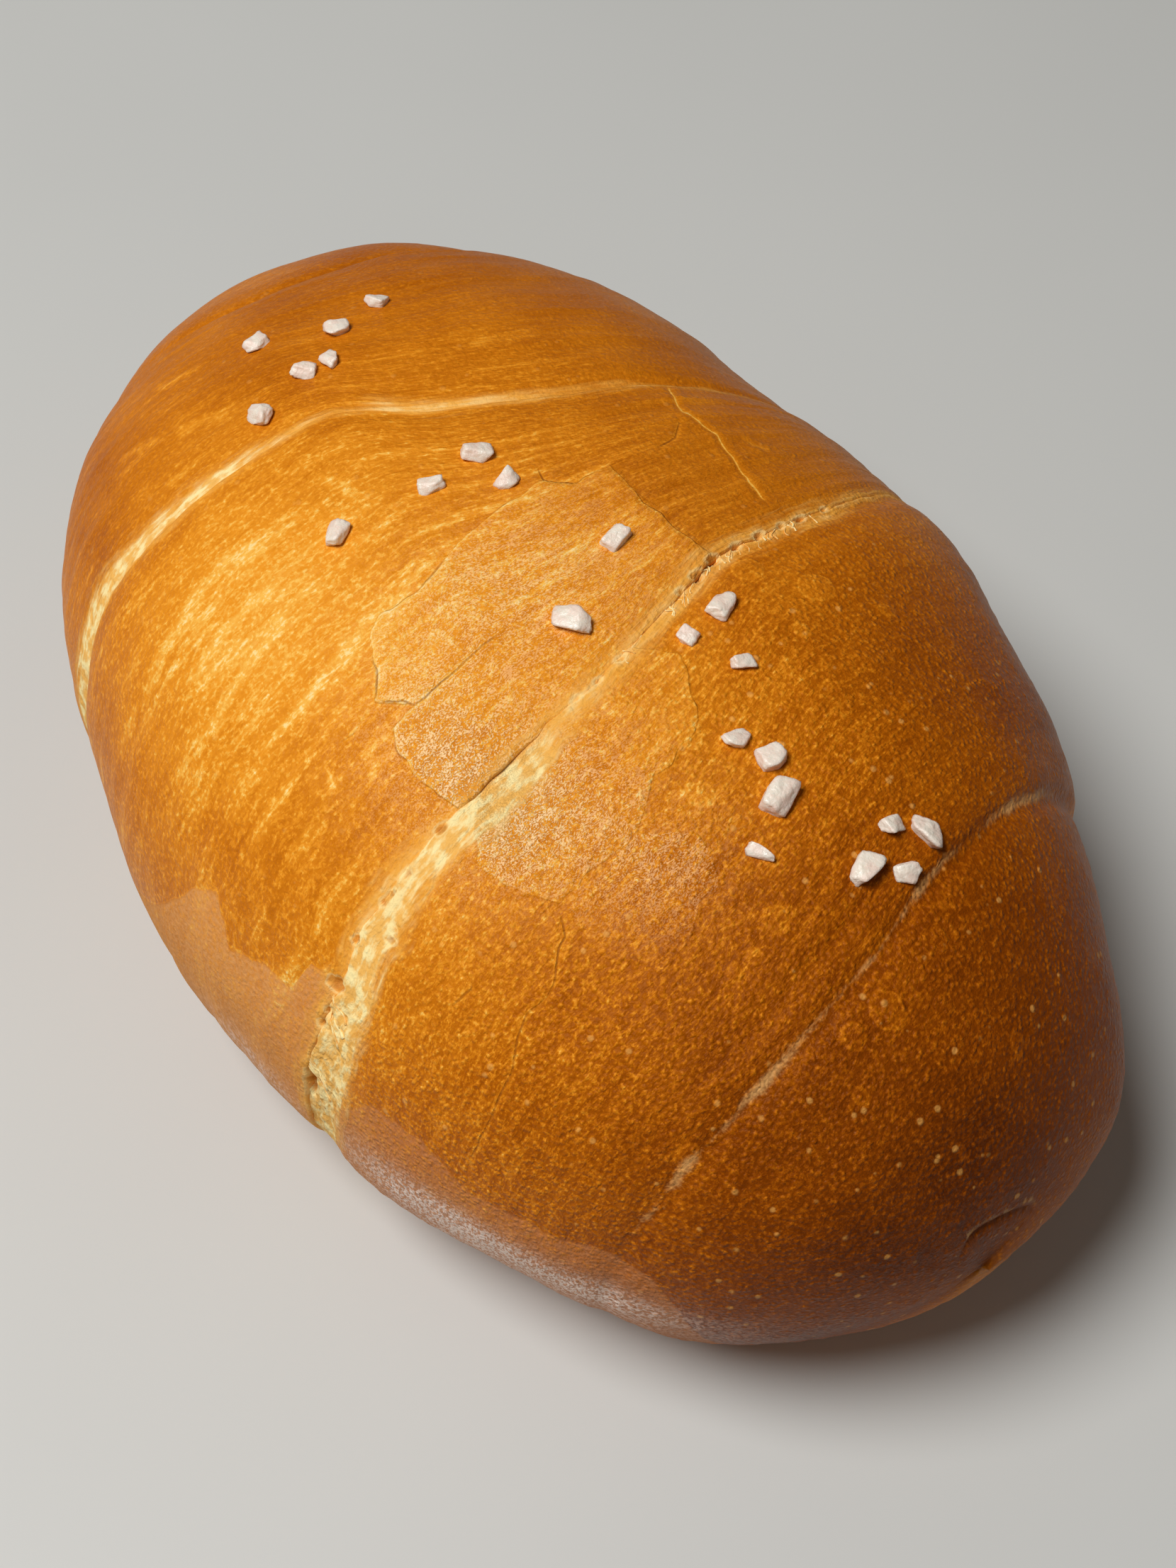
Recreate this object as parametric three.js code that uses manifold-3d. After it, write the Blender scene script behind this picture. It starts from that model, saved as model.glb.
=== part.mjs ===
import * as THREE from 'three';
import { ConvexGeometry } from 'three/addons/geometries/ConvexGeometry.js';
import { mergeVertices } from 'three/addons/utils/BufferGeometryUtils.js';
import Module from 'manifold-3d';

// Salt bread roll: a tapering strip of dough wound up from its wide end, baked until the crust splits a little
// along the strip's edges, with coarse salt on the crest.
// Millimetres. +X runs along the roll, +Z is up, and the flat base lies on z = 0 under the origin.

// Driving dimensions of the whole roll
const rollLength = 120;
const rollWidth = 78;
const rollHeight = 50;

// The oval: powers of its rounded outlines, the height of its widest line, the depth of its lower half and
// the mean radius of its ends
const planPower = 2.08;
const crownPower = 2.3;
const sectionPower = 2.2;
const waistHeight = 0.42 * rollHeight;
const underDepth = 0.6 * rollHeight;
const endRadius = (rollWidth / 2 + rollHeight - waistHeight) / 2;

// Relief fades out over this height above the base
const footFade = 8;

// Seams where one wrap ends on the wrap below. Each pair is [at the -Y side, at the +Y side].
// along: place on the X axis. turn and shift: how sharply, and how far off the crest, the seam swings across.
// over: the side, along X, of the wrap that lies on top. step: how far the lower wrap dips below it.
// gap and groove: width and depth of the split. reach: how far the dip runs into the lower wrap.
const seams = [
  { along: [-59.2, -59.6], turn: 1, shift: 0, over: 1, reach: 3,
    step: [0.3, 0.3], gap: [1, 1], groove: [0.3, 0.3] },
  { along: [-51, -41], turn: 2.2, shift: 0.1, over: 1, reach: 5,
    step: [0.8, 0.8], gap: [1.4, 1.4], groove: [0.3, 0.3] },
  { along: [-26.5, -8.5], turn: 2.2, shift: 0.12, over: 1, reach: 5,
    step: [0.9, 0.9], gap: [2.2, 1], groove: [0.5, 0.4] },
  { along: [17.2, 3.6], turn: 1.2, shift: 0, over: -1, reach: 5,
    step: [0.8, 0.6], gap: [3.2, 1.8], groove: [1.2, 0.7] },
  { along: [45.8, 33], turn: 2.2, shift: 0.15, over: -1, reach: 5,
    step: [0.6, 1], gap: [1.4, 1.8], groove: [0.3, 0.5] },
  { along: [59.6, 58.6], turn: 1, shift: 0, over: -1, reach: 3,
    step: [0.3, 0.7], gap: [1, 1.4], groove: [0.4, 0.7] },
];

// The upper wrap's edge is rounded over edgeRound, dropping edgeDrop, and the step is edgeSoft wide
const edgeRound = 3;
const edgeDrop = 0.5;
const edgeSoft = 0.3;

// Unevenness of hand-wound dough: broad swellings and hollows at a place along X and an angle round the roll
const lumps = [
  { along: 40, around: 16, rise: -1, length: 9, turn: 26 },
  { along: 55, around: 8, rise: 0.8, length: 5, turn: 30 },
  { along: 55, around: 212, rise: 0.8, length: 6, turn: 24 },
  { along: 38, around: 200, rise: -1, length: 8, turn: 22 },
  { along: 8, around: 27, rise: 1.2, length: 7, turn: 25 },
  { along: -16, around: 31, rise: -1, length: 8, turn: 25 },
  { along: -46, around: 54, rise: 0.5, length: 8, turn: 30 },
  { along: -20, around: 182, rise: -0.6, length: 6, turn: 22 },
  { along: -5, around: 187, rise: 0.4, length: 12, turn: 24 },
];

// Loose plates of top crust: plan outlines [x, y], lifted by flakeLift and bedded flakeBed deep
const flakeLift = 0.35;
const flakeBed = 0.8;
const flakeRings = 4;
const flakeEdgeStep = 3;
const flakes = [
  [[-2, -17], [5, -19.5], [13.5, -18.5], [11.5, -8], [9, 1], [6.5, 9], [-3, 8], [-5, 1.5], [-4.5, -8]],
  [[21, -20.5], [26.5, -18], [25.5, -12.5], [24.5, -7.5], [19, -9.5], [18.5, -15]],
  [[27.5, -11], [30.5, -14], [33.5, -13], [33, -9.5], [31, -6.5], [28, -6]],
];

// Salt grains on the crest: plan place x and y, and mean width
const saltGrains = [
  [-35.5, 3.5, 1.9], [-34, -1.5, 2.1], [-30.5, -4, 1.9], [-31, -6.5, 2.1], [-38, -7.5, 2], [-29, -12, 2.4],
  [-12, -0.5, 2.4], [-8, 0, 2], [-11, -5.5, 2.1], [-12, -14, 2.2],
  [2, 4, 2.3], [7, -3.5, 3], [12, 7.5, 2.2], [13, 3.5, 1.7], [17.5, 5.5, 1.6],
  [23, 1, 2], [25.5, 2.5, 2.3], [28.5, 1, 2.9], [31.5, -3, 2],
  [36.5, 3.5, 2.8], [38, 6.5, 2.2], [36, 9.5, 2.6], [34.5, 7.5, 1.8],
];
// In grain widths: depth, height, how far the middle stands off the skin, and a chipped corner's least reach
const saltDepth = 0.9;
const saltHeight = 0.85;
const saltStand = 0.2;
const saltCorner = 0.55;
const saltTilt = 0.5;
const saltSeed = 7;

// Rows of the skin's mesh between the poles and the seams, and columns round the roll
const rowCounts = [3, 5, 9, 14, 11, 7, 3];
const rowCrowding = 0.6;
const columnCount = 60;

const crustColour = 0xc9822f;

const wasm = await Module();
wasm.setup();

const signedPower = (value, power) => Math.sign(value) * Math.abs(value) ** power;
const roundedProfile = (share, power) => Math.max(1 - Math.abs(share) ** power, 0) ** (1 / power);
const alongAngle = (x) => Math.acos(THREE.MathUtils.clamp(-x / (rollLength / 2), -1, 1));
const alongX = (u) => (-rollLength / 2) * Math.cos(u);

// Point of the bare oval at angle u along the roll (0 to PI) and v round it (0 at +Y, PI/2 on the crest)
function ovalPoint(u, v) {
  const share = -Math.cos(u);
  const halfWidth = (rollWidth / 2) * roundedProfile(share, planPower);
  const rise = Math.sin(v) > 0 ? rollHeight - waistHeight : underDepth;
  const y = halfWidth * signedPower(Math.cos(v), 2 / sectionPower);
  const height = rise * roundedProfile(share, crownPower) * signedPower(Math.sin(v), 2 / sectionPower);
  return new THREE.Vector3(alongX(u), y, waistHeight + height);
}

function ovalNormal(u, v) {
  const stride = 0.004;
  const alongStep = ovalPoint(u + stride, v).sub(ovalPoint(u - stride, v));
  const aroundStep = ovalPoint(u, v + stride).sub(ovalPoint(u, v - stride));
  return aroundStep.cross(alongStep).normalize();
}

// 0 at the -Y side of the roll, 1 at the +Y side, by a smooth swing over the crest
function seamSwing(seam, v) {
  const swing = (c) => Math.tanh(seam.turn * (c - seam.shift));
  return (swing(Math.cos(v)) - swing(-1)) / (swing(1) - swing(-1));
}

const pairAt = (pair, t) => pair[0] + (pair[1] - pair[0]) * t;
const seamX = (seam, v) => pairAt(seam.along, seamSwing(seam, v));

// Distance over the skin, along the roll, from angle u0 to angle u
function skinDistance(u0, u) {
  const middle = (u0 + u) / 2;
  return (u - u0) * Math.hypot((rollLength / 2) * Math.sin(middle), endRadius * Math.cos(middle));
}

// Height of the skin over the bare oval beside one seam
function seamRelief(seam, u, v) {
  const t = seamSwing(seam, v);
  const inside = skinDistance(alongAngle(pairAt(seam.along, t)), u) * seam.over;
  const onTop = 1 / (1 + Math.exp(-inside / edgeSoft));
  const gap = pairAt(seam.gap, t);
  const upper = edgeDrop * Math.exp(-Math.abs(inside) / edgeRound);
  const lower = (edgeDrop + pairAt(seam.step, t)) * Math.exp(-Math.abs(inside) / seam.reach);
  const split = pairAt(seam.groove, t) * Math.exp(-(((inside + gap / 2) / (gap / 2)) ** 2));
  return -onTop * upper - (1 - onTop) * lower - split;
}

function lumpRelief(lump, u, v) {
  const away = v - THREE.MathUtils.degToRad(lump.around);
  const turn = Math.atan2(Math.sin(away), Math.cos(away)) / THREE.MathUtils.degToRad(lump.turn);
  return lump.rise * Math.exp(-(((alongX(u) - lump.along) / lump.length) ** 2) - turn ** 2);
}

function relief(u, v) {
  const atSeams = seams.reduce((sum, seam) => sum + seamRelief(seam, u, v), 0);
  return lumps.reduce((sum, lump) => sum + lumpRelief(lump, u, v), atSeams);
}

// Point of the baked skin, lifted off it by a given height
function skinPoint(u, v, lift = 0) {
  const point = ovalPoint(u, v);
  const foot = THREE.MathUtils.smoothstep(point.z, 0, footFade);
  point.addScaledVector(ovalNormal(u, v), relief(u, v) * foot + lift);
  point.z = Math.max(point.z, 0);
  return point;
}

// The tip of the roll at u = 0 or PI
function endPoint(u) {
  const tip = ovalPoint(u, 0);
  tip.x += Math.sign(tip.x) * relief(u, Math.PI / 2);
  return tip;
}

// Angles (u, v) of the point of the upper skin over a plan place
function planAngles(x, y) {
  const halfWidth = (rollWidth / 2) * roundedProfile(x / (rollLength / 2), planPower);
  return [alongAngle(x), Math.acos(signedPower(y / halfWidth, sectionPower / 2))];
}

function indexedGeometry(points, triangles) {
  const geometry = new THREE.BufferGeometry().setFromPoints(points);
  geometry.setIndex(triangles);
  return geometry;
}

// The skin: rings of points round the roll, one ring on each seam, closed by a point at each end
function skinGeometry() {
  const ringAngle = (i, v) => (i === 0 ? 0 : i > seams.length ? Math.PI : alongAngle(seamX(seams[i - 1], v)));
  const places = rowCounts.flatMap((count, i) =>
    Array.from({ length: count }, (_, k) => ({ span: i, share: k / count })),
  ).slice(1);
  const points = [];
  for (const { span, share } of places) {
    const crowded = share - (rowCrowding * Math.sin(2 * Math.PI * share)) / (2 * Math.PI);
    for (let j = 0; j < columnCount; j++) {
      const v = (2 * Math.PI * j) / columnCount;
      const start = ringAngle(span, v);
      points.push(skinPoint(start + (ringAngle(span + 1, v) - start) * crowded, v));
    }
  }
  const farEnd = points.push(endPoint(0)) - 1;
  const nearEnd = points.push(endPoint(Math.PI)) - 1;
  const lastRow = (places.length - 1) * columnCount;
  const triangles = [];
  for (let j = 0; j < columnCount; j++) {
    const next = (j + 1) % columnCount;
    triangles.push(farEnd, next, j, nearEnd, lastRow + j, lastRow + next);
    for (let row = 0; row < lastRow; row += columnCount) {
      const below = row + columnCount;
      triangles.push(row + j, row + next, below + j, row + next, below + next, below + j);
    }
  }
  return indexedGeometry(points, triangles);
}

// Points along a plan outline, no further apart than a step
function outlinePoints(corners, step) {
  return corners.flatMap(([x0, y0], i) => {
    const [x1, y1] = corners[(i + 1) % corners.length];
    const count = Math.ceil(Math.hypot(x1 - x0, y1 - y0) / step);
    const shares = Array.from({ length: count }, (_, k) => k / count);
    return shares.map((share) => [x0 + (x1 - x0) * share, y0 + (y1 - y0) * share]);
  });
}

// A plate of crust that follows the skin: rings shrinking from the outline to its middle, above and below
function flakeGeometry(corners) {
  const outline = outlinePoints(corners, flakeEdgeStep);
  const middle = [0, 1].map((axis) => outline.reduce((sum, place) => sum + place[axis], 0) / outline.length);
  const points = [];
  const sides = [[flakeLift, 1], [-flakeBed, -1]].map(([lift, facing]) => {
    const first = points.length;
    for (let ring = 0; ring < flakeRings; ring++) {
      const share = 1 - ring / flakeRings;
      for (const [x, y] of outline) {
        const [u, v] = planAngles(middle[0] + (x - middle[0]) * share, middle[1] + (y - middle[1]) * share);
        points.push(skinPoint(u, v, lift));
      }
    }
    points.push(skinPoint(...planAngles(...middle), lift));
    return { first, facing };
  });
  const count = outline.length;
  const triangles = [];
  const addFace = (facing, a, b, c) => triangles.push(...(facing > 0 ? [a, b, c] : [a, c, b]));
  for (const { first, facing } of sides) {
    const centre = first + flakeRings * count;
    for (let j = 0; j < count; j++) {
      const next = (j + 1) % count;
      for (let outer = first; outer < centre - count; outer += count) {
        const inner = outer + count;
        addFace(facing, outer + j, outer + next, inner + j);
        addFace(facing, outer + next, inner + next, inner + j);
      }
      addFace(facing, centre - count + j, centre - count + next, centre);
    }
  }
  const [top, bottom] = sides.map((side) => side.first);
  for (let j = 0; j < count; j++) {
    const next = (j + 1) % count;
    triangles.push(bottom + j, bottom + next, top + j, bottom + next, top + next, top + j);
  }
  return indexedGeometry(points, triangles);
}

// A broken crystal: the hull of a box whose corners are chipped, turned at random and set into the skin
function grainGeometry([x, y, width]) {
  const random = () => THREE.MathUtils.seededRandom();
  const chipped = (size) => (size / 2) * (saltCorner + (1 - saltCorner) * random());
  const points = [];
  for (const cornerX of [-1, 1]) {
    for (const cornerY of [-1, 1]) {
      for (const cornerZ of [-1, 1, cornerX]) {
        const reachX = cornerX * chipped(width);
        const reachY = cornerY * chipped(width * saltDepth);
        points.push(new THREE.Vector3(reachX, reachY, cornerZ * chipped(width * saltHeight)));
      }
    }
  }
  const tilt = () => saltTilt * (2 * random() - 1);
  const turn = new THREE.Euler(tilt(), tilt(), 2 * Math.PI * random());
  const geometry = new ConvexGeometry(points);
  geometry.applyQuaternion(new THREE.Quaternion().setFromEuler(turn));
  const seat = skinPoint(...planAngles(x, y), width * saltStand);
  geometry.translate(seat.x, seat.y, seat.z);
  return geometry;
}

function solidOf(geometry) {
  geometry.deleteAttribute('normal');
  const closed = mergeVertices(geometry);
  const vertProperties = closed.getAttribute('position').array;
  const triVerts = new Uint32Array(closed.getIndex().array);
  return new wasm.Manifold(new wasm.Mesh({ numProp: 3, vertProperties, triVerts }));
}

function meshGeometry(solid) {
  const { vertProperties, triVerts } = solid.getMesh();
  const geometry = new THREE.BufferGeometry();
  geometry.setAttribute('position', new THREE.BufferAttribute(vertProperties, 3));
  geometry.setIndex(new THREE.BufferAttribute(triVerts, 1));
  geometry.computeVertexNormals();
  return geometry;
}

THREE.MathUtils.seededRandom(saltSeed);
const toppings = [...flakes.map(flakeGeometry), ...saltGrains.map(grainGeometry)];
const bread = toppings.reduce((solid, topping) => solid.add(solidOf(topping)), solidOf(skinGeometry()));

const crust = new THREE.MeshStandardMaterial({ color: crustColour, roughness: 0.45, metalness: 0 });
const roll = new THREE.Mesh(meshGeometry(bread), crust);
roll.name = 'roll';

const saltBread = new THREE.Group();
saltBread.add(roll);

export default saltBread;
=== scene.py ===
import math

import bpy
import numpy as np
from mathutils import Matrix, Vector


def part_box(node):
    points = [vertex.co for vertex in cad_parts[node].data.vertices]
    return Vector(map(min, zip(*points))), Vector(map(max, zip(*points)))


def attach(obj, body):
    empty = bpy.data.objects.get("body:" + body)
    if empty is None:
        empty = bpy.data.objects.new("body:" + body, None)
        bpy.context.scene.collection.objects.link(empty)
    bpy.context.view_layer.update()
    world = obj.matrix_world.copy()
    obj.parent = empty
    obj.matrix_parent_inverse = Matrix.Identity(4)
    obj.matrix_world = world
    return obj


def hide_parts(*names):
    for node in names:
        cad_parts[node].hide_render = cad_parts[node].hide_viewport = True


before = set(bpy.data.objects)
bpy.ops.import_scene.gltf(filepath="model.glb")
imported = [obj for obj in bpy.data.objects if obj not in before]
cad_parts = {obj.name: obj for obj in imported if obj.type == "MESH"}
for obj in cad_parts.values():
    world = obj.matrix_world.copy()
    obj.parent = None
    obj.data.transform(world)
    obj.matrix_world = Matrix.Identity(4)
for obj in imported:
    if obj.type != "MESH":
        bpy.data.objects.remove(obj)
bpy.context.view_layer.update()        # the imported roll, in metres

mm = 0.001
outside = -9.0           # signed distance in mm where there is nothing near
nodeLow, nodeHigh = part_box("roll")

# the oval that the strip of dough is wound up to, in millimetres; length and width come from the frame
rollForm = {
    "length": round((nodeHigh.x - nodeLow.x) / mm),
    "width": round((nodeHigh.y - nodeLow.y) / mm),
    "heightShare": 0.641,      # crest height over width
    "waistShare": 0.42,        # height of the widest line over crest height
    "underShare": 0.6,         # depth of the lower half, cut off flat by the base
    "planPower": 2.08,
    "crownPower": 2.3,
    "sectionPower": 2.2,
    "footFade": 8,             # relief fades out over this height above the base
}
halfLength = rollForm["length"] / 2
halfWidth = rollForm["width"] / 2
crestHeight = round(rollForm["width"] * rollForm["heightShare"])
waistHeight = rollForm["waistShare"] * crestHeight
underDepth = rollForm["underShare"] * crestHeight
endRadius = (halfWidth + crestHeight - waistHeight) / 2
print("roll", rollForm["length"], "x", rollForm["width"], "x", crestHeight, "mm")


# a random number from 0 to 1 for every whole-number place: its parts are multiplied and mixed bit by bit
def gridRandom(spot, seed):
    spot = spot.astype(np.int64)
    mixed = spot[..., 0] * 73856093 ^ spot[..., 1] * 19349663 ^ spot[..., 2] * 83492791
    mixed = (mixed + seed * 7919) * 1274126177
    mixed = (mixed ^ (mixed >> 15)) * 2246822519
    mixed = (mixed ^ (mixed >> 13)) & 0xFFFFFF
    return mixed / 0xFFFFFF


# random values on a whole-number grid, blended smoothly between the eight corners of each cell, -1 to 1
def latticeNoise(place, seed):
    cell = np.floor(place)
    inCell = place - cell
    blend = inCell * inCell * (3 - 2 * inCell)
    total = np.zeros(place.shape[:-1])
    for corner in np.ndindex(2, 2, 2):
        weight = np.prod(np.where(np.array(corner) == 1, blend, 1 - blend), axis=-1)
        total += weight * gridRandom(cell + np.array(corner), seed)
    return 2 * total - 1


# a sum of lattice noises, each twice as fine and half as strong as the last
def layeredNoise(place, seed, layers):
    total = np.zeros(place.shape[:-1])
    for layer in range(layers):
        total += latticeNoise(place * 2 ** layer, seed + layer) / 2 ** layer
    return total


# distance to the nearest and to the second nearest of one random dot per grid cell, and the nearest's number
def nearestDot(place, seed):
    cell = np.floor(place)
    nearest = np.full(place.shape[:-1], 9.0)
    second = np.full(place.shape[:-1], 9.0)
    number = np.zeros(place.shape[:-1])
    for step in np.ndindex(3, 3, 3):
        spot = cell + np.array(step) - 1
        dot = spot + np.stack([gridRandom(spot, seed + k) for k in range(3)], axis=-1)
        away = np.linalg.norm(place - dot, axis=-1)
        closer = away < nearest
        second = np.minimum(second, np.where(closer, nearest, away))
        nearest = np.where(closer, away, nearest)
        number = np.where(closer, gridRandom(spot, seed + 3), number)
    return nearest, second, number


# 0 at low, 1 at high, an S-shaped curve between them
def smoothStep(value, low, high):
    share = np.clip((value - low) / (high - low), 0, 1)
    return share * share * (3 - 2 * share)


# a power that keeps the sign of the value
def signedPower(value, power):
    return np.sign(value) * np.abs(value) ** power


# a rounded outline: 1 in the middle, 0 at a share of 1 either way, fuller with a higher power
def roundedProfile(share, power):
    return np.maximum(1 - np.abs(share) ** power, 0) ** (1 / power)


# place on X at u, a cosine from the far end to the near end
def alongX(u):
    return -halfLength * np.cos(u)


# u at a place on X, the other way round
def alongAngle(x):
    return np.arccos(np.clip(-np.asarray(x, float) / halfLength, -1, 1))


# point of the bare oval: x is a cosine of u, y and z are a rounded section that shrinks towards both ends
def ovalPoint(u, v):
    share = -np.cos(u)
    y = halfWidth * roundedProfile(share, rollForm["planPower"])
    y = y * signedPower(np.cos(v), 2 / rollForm["sectionPower"])
    rise = np.where(np.sin(v) > 0, crestHeight - waistHeight, underDepth)
    z = rise * roundedProfile(share, rollForm["crownPower"])
    z = waistHeight + z * signedPower(np.sin(v), 2 / rollForm["sectionPower"])
    return np.stack(np.broadcast_arrays(alongX(u), y, z), axis=-1)


# outward direction of the oval: the cross product of a small step round it and a small step along it
def ovalNormal(u, v):
    stride = 0.004
    alongStep = ovalPoint(u + stride, v) - ovalPoint(u - stride, v)
    aroundStep = ovalPoint(u, v + stride) - ovalPoint(u, v - stride)
    normal = np.cross(aroundStep, alongStep)
    return normal / np.maximum(np.linalg.norm(normal, axis=-1, keepdims=True), 1e-9)


# u and v of the upper skin over a plan place: y over the outline's reach there is a power of the cosine of v
def planAngles(x, y):
    reach = halfWidth * roundedProfile(x / halfLength, rollForm["planPower"])
    across = np.clip(signedPower(y / reach, rollForm["sectionPower"] / 2), -1, 1)
    return alongAngle(x), np.arccos(across)


# edges of the strip where one wrap ends on the wrap below, in mm
# along: places on X of the edge at the angles of turn, in degrees round the roll from the +Y side
# over: side along X of the upper wrap; drop: how far its edge rounds down; reach: how far the lower wrap dips
# ragged: unevenness of the torn edge
# at each angle around: step, the further dip of the lower wrap; gap and groove, the split's width and depth
seams = {
    "farCore": {"turn": [-90, 90, 270], "along": [-59.4, -59.4, -59.4],
                "over": 1, "drop": 0.3, "reach": 3, "ragged": 0.1,
                "around": [90], "step": [0.2], "gap": [1], "groove": [0.2]},
    "farTip": {"turn": [-90, 0, 60, 90, 120, 180, 270], "along": [-46, -41, -43, -46.5, -49.5, -51, -46],
               "over": 1, "drop": 0.5, "reach": 5, "ragged": 0.4,
               "around": [90], "step": [0.4], "gap": [1.4], "groove": [0.2]},
    "farEdge": {"turn": [-90, 0, 30, 47, 61, 70, 80, 84, 88, 91, 94, 97, 100, 110, 120, 130, 145, 156, 162,
                         180, 270],
                "along": [-17.5, -8.5, -9.4, -11.2, -13.2, -14.2, -15.8, -16.9, -18.3, -19.8, -21.5, -24,
                          -25.3, -25.2, -25.6, -26, -26.3, -25.8, -24.6, -24.5, -17.5],
                "over": 1, "drop": 0.5, "reach": 5, "ragged": 0.25,
                "around": [40, 90, 100, 130], "step": [0.2, 0.2, 0.15, 0.2], "gap": [1, 1.2, 1.4, 2.4],
                "groove": [0.15, 0.15, 0.1, 0.15]},
    "nearEdge": {"turn": [-90, 0, 37, 50, 60, 70, 76, 82, 86, 90, 95, 101, 106, 117, 127, 142, 154, 180, 270],
                 "along": [11, 3.2, 4, 5.6, 6.3, 6.8, 7.2, 8.6, 9.7, 11.1, 12.5, 13.3, 13.9, 15.3, 16, 17.2,
                           18.3, 18.2, 11],
                 "over": -1, "drop": 0.5, "reach": 6, "ragged": 0.35,
                 "around": [30, 60, 72, 80, 86, 92, 102, 107, 111, 115, 119, 147, 157, 178],
                 "step": [-0.1, 0, 0.15, 0.2, 0, -0.12, -0.12, 0.15, 0.35, 0.25, -0.25, -0.25, -0.05, 0.1],
                 "gap": [1.2, 1.4, 1.5, 1.6, 1.7, 1.8, 2, 2.1, 2.2, 2.2, 2.2, 2.8, 3.4, 4],
                 "groove": [0.1, 0.2, 0.25, 0.2, 0.1, 0, 0, 0.15, 0.3, 0.2, 0, 0.05, 0.15, 0.3]},
    "nearTip": {"turn": [-90, 0, 38, 52, 59, 66, 74, 80, 87, 94, 100, 107, 114, 126, 145, 180, 270],
                "along": [39.5, 33.5, 35, 35.9, 36.4, 37.4, 38.4, 39.6, 41, 42.5, 43.6, 44.1, 44.6, 45.3,
                          45.7, 45.4, 39.5],
                "over": -1, "drop": 0.4, "reach": 6, "ragged": 0.2,
                "around": [30, 70, 100, 160], "step": [0.6, 0.3, 0.1, 0.1], "gap": [1.8, 1.6, 1.4, 1.4],
                "groove": [0.3, 0.2, 0.12, 0.1]},
    "nearCore": {"turn": [-90, 0, 30, 76, 99, 115, 158, 182, 230, 270],
                 "along": [59.2, 59.3, 59.3, 59.2, 59.1, 59.5, 59.8, 59.8, 59.6, 59.2],
                 "over": -1, "drop": 0.15, "reach": 3, "ragged": 0.05,
                 "around": [-40, 0, 30, 50, 90, 110, 125, 230],
                 "step": [-0.1, -0.1, -0.1, 0.05, 0.05, -0.1, -0.1, -0.1],
                 "gap": [0.6], "groove": [0, 0, 0.1, 0.3, 0.3, 0.15, 0, 0]},
}
crustEdge = {"round": 3, "soft": 0.3, "easing": [-4, -2, 0, 2, 4], "under": 0.35,
             "uneven": [[5, 1, 31], [1.3, 0.45, 32]]}      # size in mm, share and seed
openSeams = {"farEdge": "farWrap", "nearEdge": "nearWrap"}      # split open: the wrap that lies below


# a line's own value at an angle round the roll, straight between the given angles; one value holds all round
def aroundLine(line, key, v):
    if len(line[key]) == 1:
        return np.full(np.shape(v), float(line[key][0]))
    return np.interp(np.degrees(v), line["around"], line[key])


# speed of the skin along the roll, in mm for each radian of u
def skinSpeed(u):
    return np.hypot(halfLength * np.sin(u), endRadius * np.cos(u))


# u of a seam at v: its place on X, eased between the given angles, plus two sizes of raggedness in mm
def seamAngle(name, v):
    seam = seams[name]
    easing = crustEdge["easing"]
    along = sum(np.interp(np.degrees(v) + step, seam["turn"], seam["along"]) for step in easing) / len(easing)
    u = alongAngle(along)
    level = np.full_like(v, seam["along"][0])
    ring = np.stack([halfWidth * np.cos(v), halfWidth * np.sin(v), level], axis=-1)
    uneven = sum(share * latticeNoise(ring / size, seed) for size, share, seed in crustEdge["uneven"])
    return u + seam["ragged"] * uneven / skinSpeed(u)


# distance over the skin from a seam, positive on the side of the upper wrap
def seamInside(name, u, v):
    start = seamAngle(name, v)
    return (u - start) * skinSpeed((start + u) / 2) * seams[name]["over"]


# height of the skin beside a seam: the upper wrap drops off over its rounded edge, the lower one dips to it
# and has a groove; an open seam shows each wrap's own side, a closed one blends the two
def seamRelief(name, u, v, wrap):
    seam = seams[name]
    inside = seamInside(name, u, v)
    gap = aroundLine(seam, "gap", v)
    dip = seam["drop"] + aroundLine(seam, "step", v)
    upper = seam["drop"] * np.exp(-np.abs(inside) / crustEdge["round"])
    lower = dip * np.exp(-np.abs(inside) / seam["reach"])
    split = aroundLine(seam, "groove", v) * np.exp(-((inside + gap / 2) / (gap / 2)) ** 2)
    onTop = 1 / (1 + np.exp(np.clip(-inside / crustEdge["soft"], -60, 60)))
    if name in openSeams and wrap == "outerWrap":
        return -upper
    if name in openSeams and wrap == openSeams[name]:
        return -np.where(inside > 0, dip + crustEdge["under"] * inside, lower) - split
    return -onTop * upper - (1 - onTop) * lower - split


# broad swellings and hollows of hand-wound dough: place on X, angle round in degrees, height, length, turn
doughLumps = [
    [40, 16, -1, 9, 26], [55, 4, 1.3, 5, 28], [56, 215, -0.4, 6, 26], [38, 200, -1, 8, 22],
    [8, 27, 1.2, 7, 25], [-16, 31, -1, 8, 25], [-46, 54, 0.5, 8, 30], [-20, 182, -0.6, 6, 22],
    [-5, 187, 0.4, 12, 24],
]


# sum of bell-shaped patches, each fading along X and round the roll
def patchSum(patches, x, v):
    total = np.zeros(np.broadcast(x, v).shape)
    for along, around, amount, length, turn in patches:
        away = v - math.radians(around)
        away = np.arctan2(np.sin(away), np.cos(away)) / math.radians(turn)
        total += amount * np.exp(-((x - along) / length) ** 2 - away ** 2)
    return total


# lane: a place along the roll in mm whose lines follow the seams, growing evenly between two of them
def laneAt(u, v):
    names = list(seams)
    angles = [np.zeros_like(v)] + [seamAngle(name, v) for name in names] + [np.full_like(v, math.pi)]
    places = [-halfLength] + [seams[name]["along"][0] for name in names] + [halfLength]
    lane = np.full(u.shape, -halfLength)
    for i in range(len(places) - 1):
        share = np.clip((u - angles[i]) / (angles[i + 1] - angles[i]), 0, 1)
        lane += share * (places[i + 1] - places[i])
    return lane


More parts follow.
